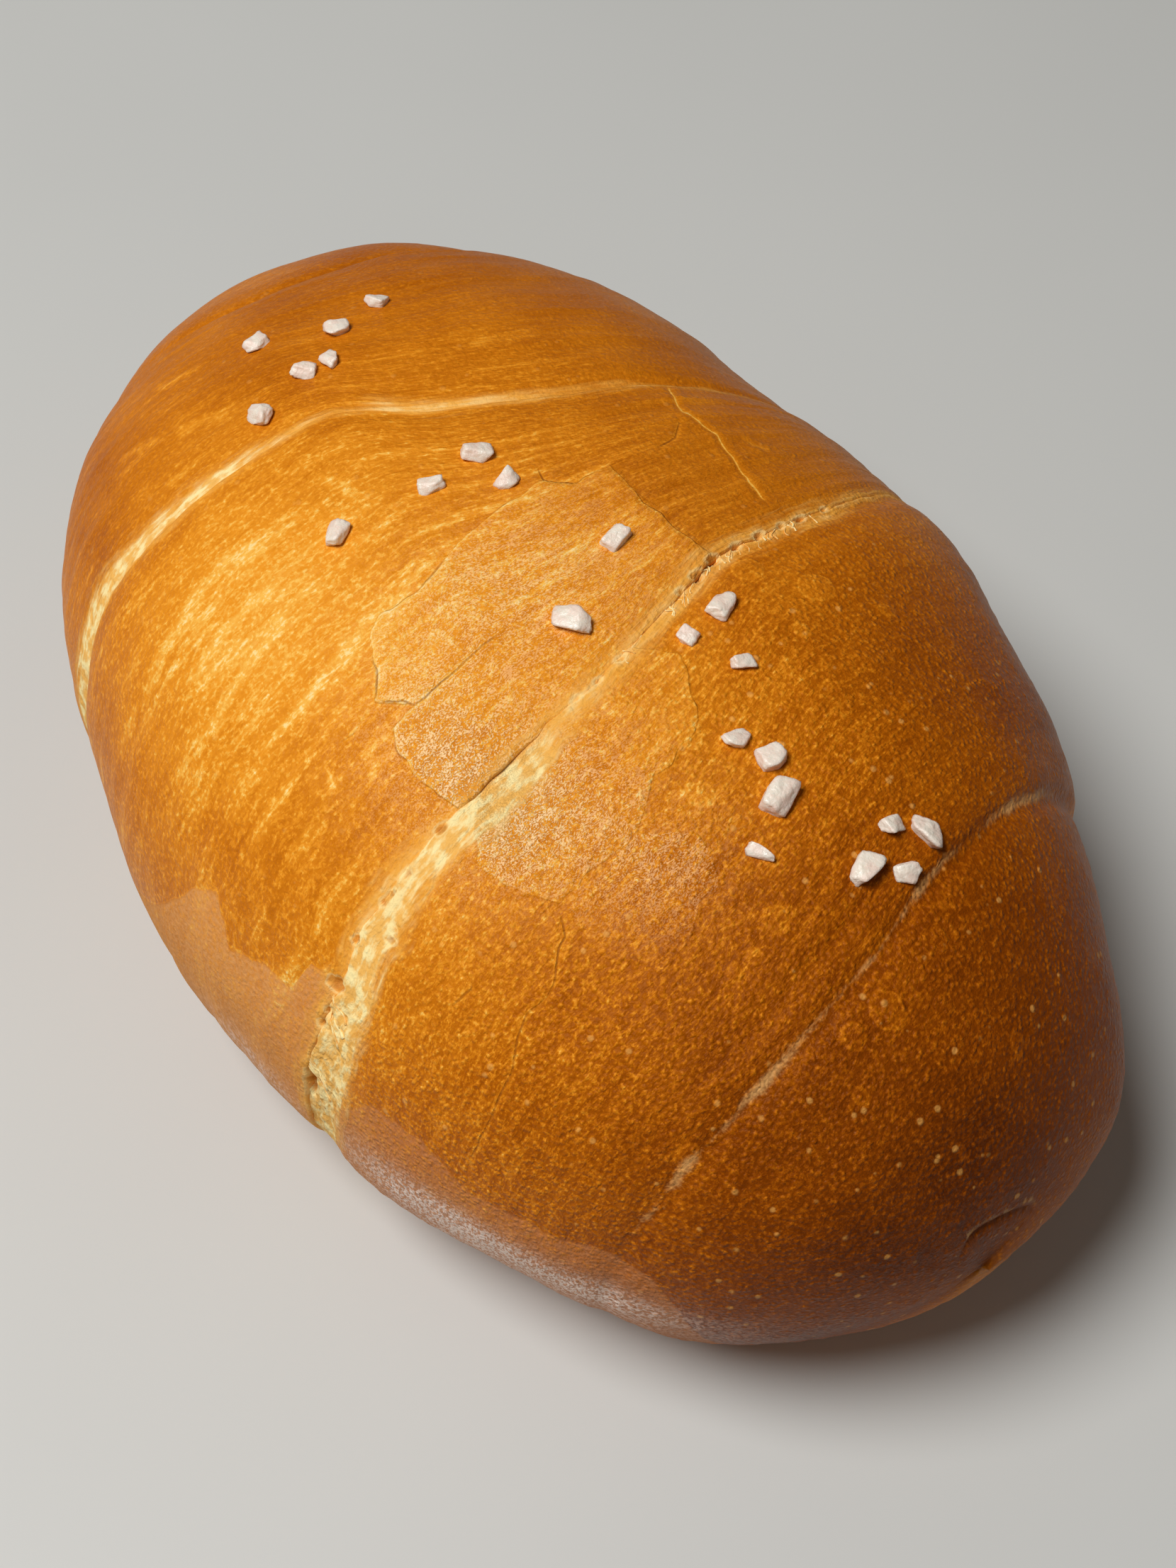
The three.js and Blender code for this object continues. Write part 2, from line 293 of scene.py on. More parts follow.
nearLobe = [4, 22]       # lanes in mm over which the pebbled crust of the near end sets in


# where the skin is: the bare oval's point, its lane and arc round the roll in mm, and the winding's own space
def skinSpot(u, v):
    bare = ovalPoint(u, v)
    lane = laneAt(u, v)
    return {
        "u": u, "v": v, "bare": bare, "x": bare[..., 0], "y": bare[..., 1],
        "degrees": np.degrees(v), "top": np.sin(v) > 0, "lane": lane, "arc": v * endRadius,
        "wound": np.stack([lane, endRadius * np.cos(v), endRadius * np.sin(v)], axis=-1),
        "near": smoothStep(lane, *nearLobe),
    }


# torn crumb at each open seam, at angles round the roll: width in mm below the edge and above it, how pale
# it is and how far it is drawn out to a web of cells
tornCrumb = {
    "farEdge": {"around": [0, 40, 60, 75, 84, 88, 91, 94, 97, 100, 105, 110, 116, 122, 136, 150, 165, 200],
                "width": [-0.3, -0.3, -0.2, 0.2, 0.9, 1.1, 1.2, 1.4, 0.3, 0.1, 0.3, 0.6, 1.2, 1.6, 2, 2.6,
                          3.4, 1],
                "above": [0],
                "pale": [0.1, 0.1, 0.1, 0.1, 0.3, 0.4, 0.4, 0.4, 0.2, 0.2, 0.3, 0.5, 0.8, 0.8, 0.8, 0.8,
                         0.9, 1],
                "webbed": [0, 0, 0, 0, 0, 0, 0, 0, 0, 0, 0, 0, 0, 0, 0.1, 0.2, 0.4, 0.5]},
    "nearEdge": {"around": [0, 30, 45, 60, 75, 85, 95, 104, 108, 116, 121, 132, 146, 152, 169, 200],
                 "width": [-0.2, 0, 0.1, 0.3, 0.6, 0.7, 0.8, 1.4, 3, 3.2, 2.5, 2.3, 3, 3.5, 4.4, 2],
                 "above": [0, 0, 0.1, 0.2, 0.3, 0.3, 0.3, 0.1, 0, 0, 0.6, 0.8, 0.7, 0.5, 0.4, 0],
                 "pale": [0.2, 0.2, 0.3, 0.3, 0.3, 0.25, 0.25, 0.5, 0.9, 1, 0.8, 0.6, 0.8, 1, 1, 1],
                 "webbed": [0, 0, 0.2, 0.4, 0.4, 0.2, 0.2, 0.4, 0.5, 0.4, 0.1, 0.15, 0.4, 0.8, 1, 0.6]},
    "plainPale": 0.3,
    "overlap": 0.3,
}
# cells of the web: slant and sway of their rows, size in mm, wall as a share of the size, mm inside the tear
crumbWeb = {"slant": 0.5, "sway": 0.5, "size": [2.4, 0.9, 1], "wall": [0.05, 0.45], "inside": [0.1, 0.9],
            "depth": 0.28}
# pale line where a closed seam has only just split, and at the near core a painted highlight along the
# crease's
# lip: half widths in mm at angles round, and place beside it
paleSplits = {
    "nearTip": {"around": [30, 38, 48, 58, 64, 80, 92, 102, 106, 114, 120, 128, 134, 138, 143, 152, 165],
                "width": [-0.5, 0.1, 0.25, 0.1, -0.1, -0.12, -0.12, -0.02, 0.1, 0.2, 0.05, -0.05, 0.1, 0.05,
                          -0.12, -0.2, -0.5],
                "beside": -0.2},
    # near core: a painted highlight along the upper lip of the crease, not split crumb
    "nearCore": {"around": [20, 40, 60, 100, 112, 122], "width": [-0.6, -0.3, -0.1, -0.1, -0.2, -0.6],
                 "beside": 0.25},
    "farTip": {"around": [60, 120], "width": [-0.1, -0.1], "beside": -0.3},
}
splitSway = 0.35
# a smooth groove in the upper wrap beside the near tip: depth, place and half width in mm, and degrees round
tipGroove = {"depth": 0.2, "beside": 3, "half": 1.1, "start": [75, 92], "end": [125, 105]}
# round and long holes torn in the crust's edge: place on X, angle round, reach along X and round in mm, depth
tornHoles = [
    [15.4, 122, 0.35, 0.6, 0.3], [16.3, 129.5, 0.4, 0.8, 0.4], [16.5, 133, 0.3, 0.45, 0.35],
    [16.5, 135, 0.35, 0.5, 0.35], [16.8, 142, 0.35, 0.5, 0.35], [19, 138, 0.6, 0.45, 0.25],
    [18.6, 136.5, 0.4, 0.3, 0.25], [17.6, 150.5, 0.7, 0.9, 0.6], [18.2, 156, 0.35, 0.4, 0.5],
    [18.1, 159, 0.35, 0.45, 0.5], [18.4, 175, 0.6, 2.2, 1.1], [12.6, 96, 0.2, 0.3, 0.3],
    [11.9, 92.5, 0.25, 0.35, 0.3], [13, 99, 0.2, 0.35, 0.3], [8.9, 83, 0.25, 0.35, 0.4],
    [8.1, 80, 0.35, 0.5, 0.5], [7.4, 77, 0.35, 0.6, 0.6], [7, 73, 0.25, 0.4, 0.5], [6.7, 69, 0.25, 0.5, 0.5],
    [6.5, 65, 0.2, 0.35, 0.5], [6.3, 61, 0.25, 0.4, 0.5], [5.9, 56, 0.2, 0.3, 0.4],
]
holeEdge = {"frayed": [0.35, 0.2], "slope": [1.2, 0.4], "crumb": 0.15}      # shares of the reach, and mm


# height and fields of the tears: mm inside torn crumb, splits and holes; a web of cells is the space between
# the nearest and the second nearest of slanted dots, and holes are ovals with a frayed rim
def tornFields(spot, wrap):
    u, v, x, lane, arc = [spot[key] for key in ["u", "v", "x", "lane", "arc"]]
    tear = np.full(u.shape, outside)
    webbed = np.zeros(u.shape)
    crumbPale = np.full(u.shape, tornCrumb["plainPale"])
    for name, lower in openSeams.items():
        torn = tornCrumb[name]
        inside = seamInside(name, u, v)
        above = aroundLine(torn, "above", v) - inside
        if wrap == lower:
            below = inside + aroundLine(torn, "width", v)
            tear = np.maximum(tear, np.minimum(below, above + tornCrumb["overlap"]))
            webbed = aroundLine(torn, "webbed", v)
            crumbPale = aroundLine(torn, "pale", v)
        if wrap == "outerWrap":
            tear = np.maximum(tear, above)

    split = np.full(u.shape, outside)
    uneven = splitSway * layeredNoise(spot["wound"] / [1.2, 2.2, 2.2], 41, 2)
    sway = splitSway * latticeNoise(spot["wound"] / 3.5, 43)
    for name, line in paleSplits.items():
        beside = np.abs(seamInside(name, u, v) - line["beside"] + sway)
        split = np.maximum(split, aroundLine(line, "width", v) + uneven - beside)

    slant = crumbWeb["slant"]
    slanted = np.stack([lane + slant * arc, arc - slant * lane, 0 * arc], axis=-1)
    slanted = slanted + crumbWeb["sway"] * latticeNoise(spot["bare"] / 1.5, 52)[..., None]
    nearest, second, _ = nearestDot(slanted / crumbWeb["size"], 51)
    cells = smoothStep(second - nearest, *crumbWeb["wall"]) * webbed * smoothStep(tear, *crumbWeb["inside"])
    height = -crumbWeb["depth"] * cells

    hole = np.full(u.shape, outside)
    coarse, fine = holeEdge["frayed"]
    frayed = coarse * latticeNoise(spot["bare"] / 0.6, 53) + fine * latticeNoise(spot["bare"] / 0.3, 54)
    for placeX, turn, reachX, reachRound, depth in tornHoles:
        away = np.hypot((x - placeX) / reachX, (arc - math.radians(turn) * endRadius) / reachRound) + frayed
        hole = np.maximum(hole, (1 - away) * min(reachX, reachRound))
        height -= depth * smoothStep(away, *holeEdge["slope"])
    tear = np.maximum(tear, hole + holeEdge["crumb"])

    groove = np.exp(-((seamInside("nearTip", u, v) - tipGroove["beside"]) / tipGroove["half"]) ** 2)
    groove *= smoothStep(spot["degrees"], *tipGroove["start"])
    groove *= smoothStep(spot["degrees"], *tipGroove["end"])
    height -= tipGroove["depth"] * groove
    fields = {"tear": tear, "split": split, "hole": hole, "cells": cells, "crumbPale": crumbPale}
    return height, fields


# loose plates of top crust, plan corners in mm; lift: how far they stand up; pale: how much less browned;
# line: how clear a line their edge draws
crustPlates = [
    {"wrap": "outerWrap", "lift": 0.2, "pale": 0.085, "line": 1,
     "corners": [[-6.4, 2.5], [-5.6, -2.6], [-4.6, -7.8], [-3.4, -10.5], [-2.8, -12.5], [-3.2, -15.2],
                 [-1.8, -17.3], [1.2, -18.3], [3.3, -19.7], [5.6, -17.5], [6.2, -19.7], [7.8, -20.3],
                 [10.3, -20.6], [12.5, -20.1], [15.1, -19.5], [18, -19.2], [18, 0], [12, 13], [7.2, 10.2],
                 [3.1, 9], [-1, 8.2], [-5, 8.2], [-4.7, 4.5]]},
    {"wrap": "nearWrap", "lift": 0.1, "pale": 0.055, "line": 0.6,
     "corners": [[20.4, -20.6], [22, -19.8], [23.6, -19], [26.3, -17.4], [25.6, -16.3], [25.6, -13.4],
                 [25.1, -9.8], [23.7, -7.6], [22, -6.3], [22, -4.5], [20, -0.5], [14, 2], [8, -5], [10, -13],
                 [15.5, -18.5], [19.3, -20.2]]},
    {"wrap": "nearWrap", "lift": 0.04, "pale": 0.03, "line": 0,
     "corners": [[26.5, -17.3], [26, -15.5], [25.8, -12.9], [25.1, -9.4], [27.5, -6], [29.6, -6], [31, -6.3],
                 [32, -7.3], [31.8, -8.4], [33, -9.6], [33.8, -11], [34.6, -14], [32.8, -15.1], [31.2, -16.7],
                 [28.4, -17.3]]},
]
# ragged outline in two sizes and the rise at the edge, in mm, and the share of it that is lost further in
plateEdge = {"ragged": [0.25, 0.12], "rise": [-0.12, 0.22], "lost": 0.6, "lostOver": [0.3, 4],
             "toneOver": [-0.1, 0.1]}
# where the crust is drier and takes painted glints, as patches
dryAndPaintedGlintPatches = [[11, 117, 1, 8, 10], [2, 98, 0.6, 9, 15], [19, 113, 1, 6, 12], [28, 103, 0.55, 5, 9]]

# hairline cracks, plan points in mm; dark from 1, an open crack, to -1, a pale golden line
crustCracks = [
    {"dark": 0.75, "points": [[26.3, -17.4], [27.4, -17.9], [28.1, -18.2], [28.6, -19.2], [30.3, -20.7],
                              [30.7, -21.6], [30.5, -23.4], [31.2, -24.6], [32.6, -26], [33.2, -27.6],
                              [33.6, -29], [34.1, -31.5]]},
    {"dark": 0.6, "points": [[26.3, -27.8], [26.3, -26.9], [26.4, -25.6], [25.7, -25.1]]},
    {"dark": 0.7, "points": [[3.3, -19.7], [5.6, -17.5], [5.9, -16.5], [5.4, -14.9], [5.2, -13], [4.6, -10.4],
                             [4.6, -8.8]]},
    {"dark": 0.4, "points": [[3.4, -19.7], [3.5, -20.7], [4.2, -22.4], [3.9, -24]]},
    {"dark": -0.5, "points": [[4.2, -25.3], [5.8, -25.4], [7.6, -25.7]]},
    {"dark": 0.8, "points": [[-0.5, -17.9], [1.3, -18.3], [2.2, -18.9], [3.4, -19.7]]},
    {"dark": 0.6, "points": [[-4.5, -7.9], [-3.7, -10], [-2.9, -12]]},
    {"dark": -0.8, "points": [[-13.1, 20], [-8.7, 18.4], [-4.6, 19.2], [-1.1, 18.6], [0.6, 18.3],
                              [4.1, 18.2]]},
    {"dark": -0.4, "points": [[-4.1, 21.2], [-1.4, 22.7]]},
    {"dark": 0.9, "points": [[-7.9, 17.7], [-5.8, 15.6], [-5.1, 13]]},
    {"dark": 0.8, "points": [[-8.2, 3], [-6.4, 2.5], [-4.8, 4.6], [-5.1, 8.2]]},
    {"dark": 0.6, "points": [[16.5, -19.1], [17.1, -19.6], [17.2, -20.7], [17.6, -22.9], [18.4, -23.8],
                             [18.8, -25.1], [19, -25.8]]},
]
crackForm = {"depth": 0.1, "half": 0.3, "lip": 0.06, "lipAway": 0.6, "lipHalf": 0.4, "fade": 1.2,
             "sway": 0.8, "reach": [1.8, 0.9]}

# pale strands in the crust that follow the winding: half width and plan points in mm
paleStrands = [
    {"half": 0.45, "points": [[-14, -32.6], [-15.7, -28], [-17, -24.6], [-17.2, -21.6], [-16.6, -19]]},
    {"half": 0.35, "points": [[-14, -36.5], [-14.2, -34.5], [-14.2, -33]]},
    {"half": 0.35, "points": [[-5, -33], [-5.9, -30.6], [-6.8, -27.3], [-8.3, -23.2], [-8.6, -20.6]]},
    {"half": 0.4, "points": [[-0.3, -29.4], [-0.6, -26], [-1.3, -22.6], [-2.1, -19.6], [-3.4, -16.3],
                             [-3.3, -11.6]]},
    {"half": 0.3, "points": [[-19, -12], [-15.2, -11], [-13.6, -11]]},
    {"half": 0.35, "points": [[-34.7, -18.4], [-32.9, -14], [-32.4, -12.2]]},
    {"half": 0.3, "points": [[-38, -23], [-35.4, -18.7]]},
    {"half": 0.3, "points": [[-42.4, -17], [-40.5, -12]]},
    {"half": 0.3, "points": [[-30.4, -22], [-29.6, -17.7]]},
    {"half": 0.4, "points": [[-25.3, 6.6], [-24.6, 9.4]]},
    {"half": 0.3, "points": [[4.5, -33], [4.2, -30], [3.6, -27.5]]},
    {"half": 0.3, "points": [[8.5, -32], [8.4, -29.5], [8, -27]]},
    {"half": 0.3, "points": [[-10.5, -30], [-11.6, -26], [-12.2, -22.5], [-12, -19.5]]},
]
strandSway = 2


# signed distance to a closed plan outline, positive inside; crossings of a ray give the side
def outlineDistance(x, y, corners):
    nearest = np.full(x.shape, 99.0)
    inside = np.zeros(x.shape, bool)
    for (x0, y0), (x1, y1) in zip(corners, corners[1:] + corners[:1]):
        stepX, stepY = x1 - x0, y1 - y0
        share = np.clip(((x - x0) * stepX + (y - y0) * stepY) / (stepX ** 2 + stepY ** 2), 0, 1)
        nearest = np.minimum(nearest, np.hypot(x - x0 - share * stepX, y - y0 - share * stepY))
        crossing = ((y0 > y) != (y1 > y)) & (x < stepX * (y - y0) / (stepY + 1e-9) + x0)
        inside ^= crossing
    return np.where(inside, nearest, -nearest)


# signed distance to an open plan line, left side positive, and a share that falls to 0 towards its two ends
def lineDistance(x, y, points):
    nearest = np.full(x.shape, 99.0)
    signed = np.full(x.shape, 99.0)
    share = np.zeros(x.shape)
    last = len(points) - 2
    for i, ((x0, y0), (x1, y1)) in enumerate(zip(points[:-1], points[1:])):
        stepX, stepY = x1 - x0, y1 - y0
        length = math.hypot(stepX, stepY)
        ahead = ((x - x0) * stepX + (y - y0) * stepY) / length
        part = np.clip(ahead / length, 0, 1)
        away = np.hypot(x - x0 - part * stepX, y - y0 - part * stepY)
        side = np.sign(stepX * (y - y0) - stepY * (x - x0))
        fade = np.ones(x.shape)
        if i == 0:
            fade = smoothStep(ahead, 0, crackForm["fade"])
        if i == last:
            fade = fade * smoothStep(length - ahead, 0, crackForm["fade"])
        closer = away < nearest
        nearest = np.where(closer, away, nearest)
        signed = np.where(closer, away * side, signed)
        share = np.where(closer, fade, share)
    return signed, share


# height and fields of plates, cracks and strands: plates step up at their edge and settle behind it, cracks
# are a narrow trough between two low lips; also how much paler the plates are
def plateFields(spot, wrap):
    x, y, top, bare = [spot[key] for key in ["x", "y", "top", "bare"]]
    height = np.zeros(x.shape)
    plate = np.full(x.shape, outside)
    plateLine = np.zeros(x.shape)
    pale = np.zeros(x.shape)
    coarse, fine = plateEdge["ragged"]
    jagged = coarse * latticeNoise(bare / 1.6, 61) + fine * latticeNoise(bare / 0.7, 62)
    for piece in crustPlates:
        if piece["wrap"] != wrap:
            continue
        sheet = np.where(top, outlineDistance(x, y, piece["corners"]) + jagged, outside)
        plateLine = np.where(sheet > plate, piece["line"], plateLine)
        plate = np.maximum(plate, sheet)
        settled = 1 - plateEdge["lost"] * smoothStep(sheet, *plateEdge["lostOver"])
        height += piece["lift"] * smoothStep(sheet, *plateEdge["rise"]) * settled
        pale += piece["pale"] * smoothStep(sheet, *plateEdge["toneOver"])

    crack = np.full(x.shape, -outside)
    crackNear = np.zeros(x.shape)
    crackDark = np.zeros(x.shape)
    sway = crackForm["sway"] * jagged
    for line in crustCracks:
        signed, mask = lineDistance(x + sway, y - sway, line["points"])
        mask = np.where(top, mask * smoothStep(np.abs(signed), *crackForm["reach"]), 0)
        crack = np.where(mask > crackNear, signed, crack)
        crackDark = np.where(mask > crackNear, line["dark"], crackDark)
        crackNear = np.maximum(crackNear, mask)
    trough = np.abs(crackDark) * np.exp(-(crack / crackForm["half"]) ** 2)
    lips = np.exp(-((np.abs(crack) - crackForm["lipAway"]) / crackForm["lipHalf"]) ** 2)
    height += crackNear * (crackForm["lip"] * lips - crackForm["depth"] * trough)

    strand = np.full(x.shape, outside)
    sway = strandSway * jagged
    for line in paleStrands:
        signed, share = lineDistance(x + sway, y - sway, line["points"])
        strand = np.maximum(strand, np.where(top, line["half"] * (2 * share - 1) - np.abs(signed), outside))
    fields = {"plate": plate, "plateLine": plateLine, "crack": crack, "crackNear": crackNear,
              "crackDark": crackDark, "strand": strand}
    return height, pale, fields


# large flat blisters: plan place and radius in mm
blisters = [
    [35.9, -4.7, 1.1], [25.2, -4, 1.2], [49.1, -5.9, 0.8], [36.5, -28.8, 0.8], [45.3, -18.9, 1],
    [32.4, -14, 0.9], [37.4, -7.6, 0.7], [37.6, -9.4, 0.7], [45.5, -0.9, 1.4], [45.6, -4.3, 1.1],
    [51.2, 7.5, 0.8], [55.3, -0.4, 0.5], [15.4, -5, 1.1], [17.6, 20.3, 0.8], [9.6, 11.8, 1.3],
    [16.9, 11.7, 0.7], [13.7, 15.8, 1.6], [21.1, -1.9, 1],
]
# heights in mm; where there are two, all over and how much more on the near lobe
crustGrain = {"blister": 0.08, "frayed": 0.3, "streak": [0.1, -0.06], "wave": 0.22}
# raised dots: size in mm, the share left flat, how far each dot reaches as a share of the size
crustDots = [
    {"size": 1.5, "height": [0.02, 0.07], "flat": 0, "reach": [0.6, 0.1], "seed": 71},
    {"size": 3.6, "height": [0.03, 0.09], "flat": 0.4, "reach": [0.45, 0.1], "seed": 75},
]


# height of blisters, pebbles round random dots in two sizes, streaks that follow the winding and slow waves,
# and mm inside the nearest blister
def grainFields(spot):
    x, y, bare, near = [spot[key] for key in ["x", "y", "bare", "near"]]
    bubble = np.full(x.shape, outside)
    for placeX, placeY, radius in blisters:
        bubble = np.maximum(bubble, np.where(spot["top"], radius - np.hypot(x - placeX, y - placeY), outside))
    bubble = bubble + crustGrain["frayed"] * latticeNoise(bare / 0.9, 78)
    height = crustGrain["blister"] * smoothStep(bubble, -0.1, 0.4)
    for dots in crustDots:
        plain, more = dots["height"]
        dot, _, number = nearestDot(bare / dots["size"], dots["seed"])
        raised = np.maximum(number - dots["flat"], 0) * smoothStep(dot, *dots["reach"])
        height += (plain + more * near) * raised
    plain, more = crustGrain["streak"]
    height += (plain + more * near) * layeredNoise(spot["wound"] / [1.5, 15, 15], 81, 2)
    height += crustGrain["wave"] * layeredNoise(bare / 11, 85, 2)
    return height, {"bubble": bubble}


# height of the line below which the crust was not washed, mm at places on X, on the -Y side and the +Y side
washLine = {
    "along": [-60, -40, -25, -17.5, -9, -4.6, -1.5, 1.4, 4.1, 5.9, 7.5, 8.7, 11.4, 14.5, 14.9, 17.1, 18.4, 19,
              22, 25, 30, 32, 34.5, 45, 48, 49.5, 51, 53, 60],
    "left": [9, 10, 11, 14, 20, 23, 27, 32, 33.5, 32.4, 30.6, 31.5, 32.7, 33.2, 35.4, 36, 35, 30,
             25, 29, 29.7, 29, 27.4, 27.2, 26, 23.7, 18, 8, 6],
    "right": 13,
    "rightWave": 3.5,
    "uneven": [0.3, 0.25],
    "blend": 1.6,              # how sharply one side's line goes over into the other's
}
pebbled = [0.35, 0.65]         # all over, and how much more on the near lobe
# floury bloom low on the -Y side, partly a painted reflection of the pale floor along the lower rim, as
# patches
flourAndReflectionPatches = [[34, 183, 1.4, 9, 6], [46, 184, 0.6, 6, 6], [36, 195, 0.8, 14, 9], [10, 186, 0.6, 6, 5]]
# strength of the flecks along the roll, and how much weaker they get over degrees towards the +Y side
flecked = {"along": [-60, -30, -18, 5, 30, 45, 60], "amount": [0.35, 0.4, 0.65, 0.75, 0.95, 0.6, 0.4],
           "weaker": 0.55, "over": [82, 62]}
# browning and painted shade from 0, cream, to 1, dark: patches as for the lumps, some darkening the +Y side
# and rims
browningAndShade = {
    "plain": 0.43,
    "cloud": 0.04,
    "patches": [[-10, 130, -0.17, 13, 26], [-17, 112, -0.1, 7, 20], [0, 108, -0.06, 8, 22],
                [20, 100, -0.08, 9, 40], [52, 100, 0.34, 13, 100], [60, 95, 0.2, 7, 100],
                [32, 54, 0.16, 18, 32], [-3, 58, 0.06, 16, 26], [3, 150, 0.08, 9, 10],
                [-36, 148, 0.12, 12, 14], [-52, 90, 0.08, 12, 80], [-34, 68, 0.08, 16, 60],
                [-44, 62, 0.05, 9, 40], [-20, 56, 0.06, 9, 20], [-3, 71, 0.08, 9, 14],
                [-12, 162, 0.05, 8, 10], [20, 55, 0.09, 9, 28], [25, 32, 0.12, 12, 20],
                [35, 112, 0.07, 8, 40], [33, 150, 0.05, 8, 16], [42, 76, 0.05, 6, 25],
                [54, 155, 0.07, 6, 25], [51, 97, -0.05, 6, 25], [54, 206, 0.3, 8, 28],
                [60, 90, -0.04, 1.1, 180], [31, 113, 0.05, 3.5, 7]],
}


# the baked skin of a wrap at u and v with an extra height: the oval's point moved along its normal by the sum
# of all relief, cut off flat at the base, and the fields its material reads
def bakedSkin(u, v, wrap, extra):
    spot = skinSpot(u, v)
    bare = spot["bare"]
    x = spot["x"]
    height = patchSum(doughLumps, x, v)
    for name in seams:
        height += seamRelief(name, u, v, wrap)
    tornHeight, fields = tornFields(spot, wrap)
    plateHeight, pale, more = plateFields(spot, wrap)
    fields.update(more)
    grainHeight, more = grainFields(spot)
    fields.update(more)
    height += tornHeight + plateHeight + grainHeight
    foot = smoothStep(bare[..., 2], 0, rollForm["footFade"])
    point = bare + ovalNormal(u, v) * ((height * foot + extra)[..., None])
    point[..., 2] = np.maximum(point[..., 2], np.maximum(-extra, 0))

    leftShare = 0.5 - 0.5 * np.clip(np.cos(v) * washLine["blend"], -1, 1)
    leftLine = np.interp(x, washLine["along"], washLine["left"])
    line = washLine["right"] + (leftLine - washLine["right"]) * leftShare
    coarse, fine = washLine["uneven"]
    line += coarse * layeredNoise(bare / 3, 91, 2) + fine * latticeNoise(bare / 1.1, 93)
    line += (1 - leftShare) * washLine["rightWave"] * latticeNoise(bare / 13, 94)
    # real browning, plus painted shade where the patches darken the +Y side and the rims
    bakeAndShade = browningAndShade["plain"] + patchSum(browningAndShade["patches"], x, v)
    bakeAndShade = bakeAndShade - pale + browningAndShade["cloud"] * layeredNoise(bare / 9, 95, 2)
    weaker = flecked["weaker"] * smoothStep(spot["degrees"], *flecked["over"]) * spot["top"]
    fields.update({
        "bakeAndShade": bakeAndShade,
        "unwashed": line - point[..., 2],
        "dryAndPaintedGlint": patchSum(dryAndPaintedGlintPatches, x, v),
        "flourAndReflection": patchSum(flourAndReflectionPatches, x, v),
        "pebble": pebbled[0] + pebbled[1] * spot["near"],
        "flecked": np.interp(spot["lane"], flecked["along"], flecked["amount"]) * (1 - weaker),
        "wrapPlace": spot["wound"],
        "tornPlace": np.stack([spot["lane"], spot["arc"], 0 * x], axis=-1),
    })
    return point, fields


# a mesh object from points in mm, faces and fields, riding on the root body in place of the CAD roll
def breadPiece(name, points, quads, triangles, fields):
    mesh = bpy.data.meshes.new(name)
    corners = np.concatenate([quads.ravel(), triangles.ravel()])
    sizes = np.concatenate([np.full(len(quads), 4), np.full(len(triangles), 3)])
    mesh.vertices.add(len(points))
    mesh.vertices.foreach_set("co", (points * mm).astype(np.float32).ravel())
    mesh.loops.add(len(corners))
    mesh.loops.foreach_set("vertex_index", corners.astype(np.int32))
    mesh.polygons.add(len(sizes))
    mesh.polygons.foreach_set("loop_start", (np.cumsum(sizes) - sizes).astype(np.int32))
    mesh.polygons.foreach_set("use_smooth", np.ones(len(sizes), bool))
    for fieldName, values in fields.items():
        if values.ndim == 1:
            layer = mesh.attributes.new(fieldName, "FLOAT", "POINT")
            layer.data.foreach_set("value", values.astype(np.float32))
        else:
            layer = mesh.attributes.new(fieldName, "FLOAT_VECTOR", "POINT")
            layer.data.foreach_set("vector", values.astype(np.float32).ravel())
    mesh.update(calc_edges=True)
    mesh.validate()
    piece = bpy.data.objects.new(name, mesh)
    bpy.context.collection.objects.link(piece)
    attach(piece, "root")
    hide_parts("roll")
    print(name, len(points), "points,", 2 * len(quads) + len(triangles), "triangles")
    return piece


# quads of a grid of rows whose columns close round on themselves, and fans to one point past each end row
def ringFaces(rows, columns):
    row, column = np.meshgrid(np.arange(rows - 1), np.arange(columns), indexing="ij")
    following = (column + 1) % columns
    quads = np.stack([row * columns + column, row * columns + following,
                      (row + 1) * columns + following, (row + 1) * columns + column], axis=-1).reshape(-1, 4)
    ring = np.arange(columns)
    after = (ring + 1) % columns
    first = np.full(columns, rows * columns)
    last = (rows - 1) * columns
    firstFan = np.stack([first, after, ring], axis=-1)
    lastFan = np.stack([first + 1, last + ring, last + after], axis=-1)
    return quads, np.concatenate([firstFan, lastFan])


# one piece of many shapes that share the same faces, each shape's corners counted on from the last
def scatteredPiece(name, shapes, quads, triangles, slotName):
    starts = (np.arange(len(shapes)) * len(shapes[0]))[:, None, None]
    allQuads = (quads + starts).reshape(-1, 4)
    allTriangles = (triangles + starts).reshape(-1, 3)
    return breadPiece(name, np.concatenate(shapes), allQuads, allTriangles, {})


# three wraps of crust: rows between their bounding seams, columns crowded to the crest; lip and tuck in mm
wrapMesh = {
    "columns": 450,
    "crestCrowding": 0.42,
    "rows": {"farWrap": [14, 40, 130], "outerWrap": [165], "nearWrap": [105, 72, 12]},
    "seamCrowding": 0.35,
    "lipRadius": 0.25,
    "lipAngles": [115, 140, 165, 190, 215, 240, 260],
    "lipEnd": [1.6, -3],
    "lipCrust": 0.1,           # below this depth the lip is torn crumb
    "tuck": [0.25, 0.6, 1.2, 2.4],
    "tuckDepth": 0.15,
    "endBulge": 0.02,
}
wrapSeams = {
    "farWrap": [None, "farCore", "farTip", "farEdge"],
    "outerWrap": ["farEdge", "nearEdge"],
    "nearWrap": ["nearEdge", "nearTip", "nearCore", None],
}


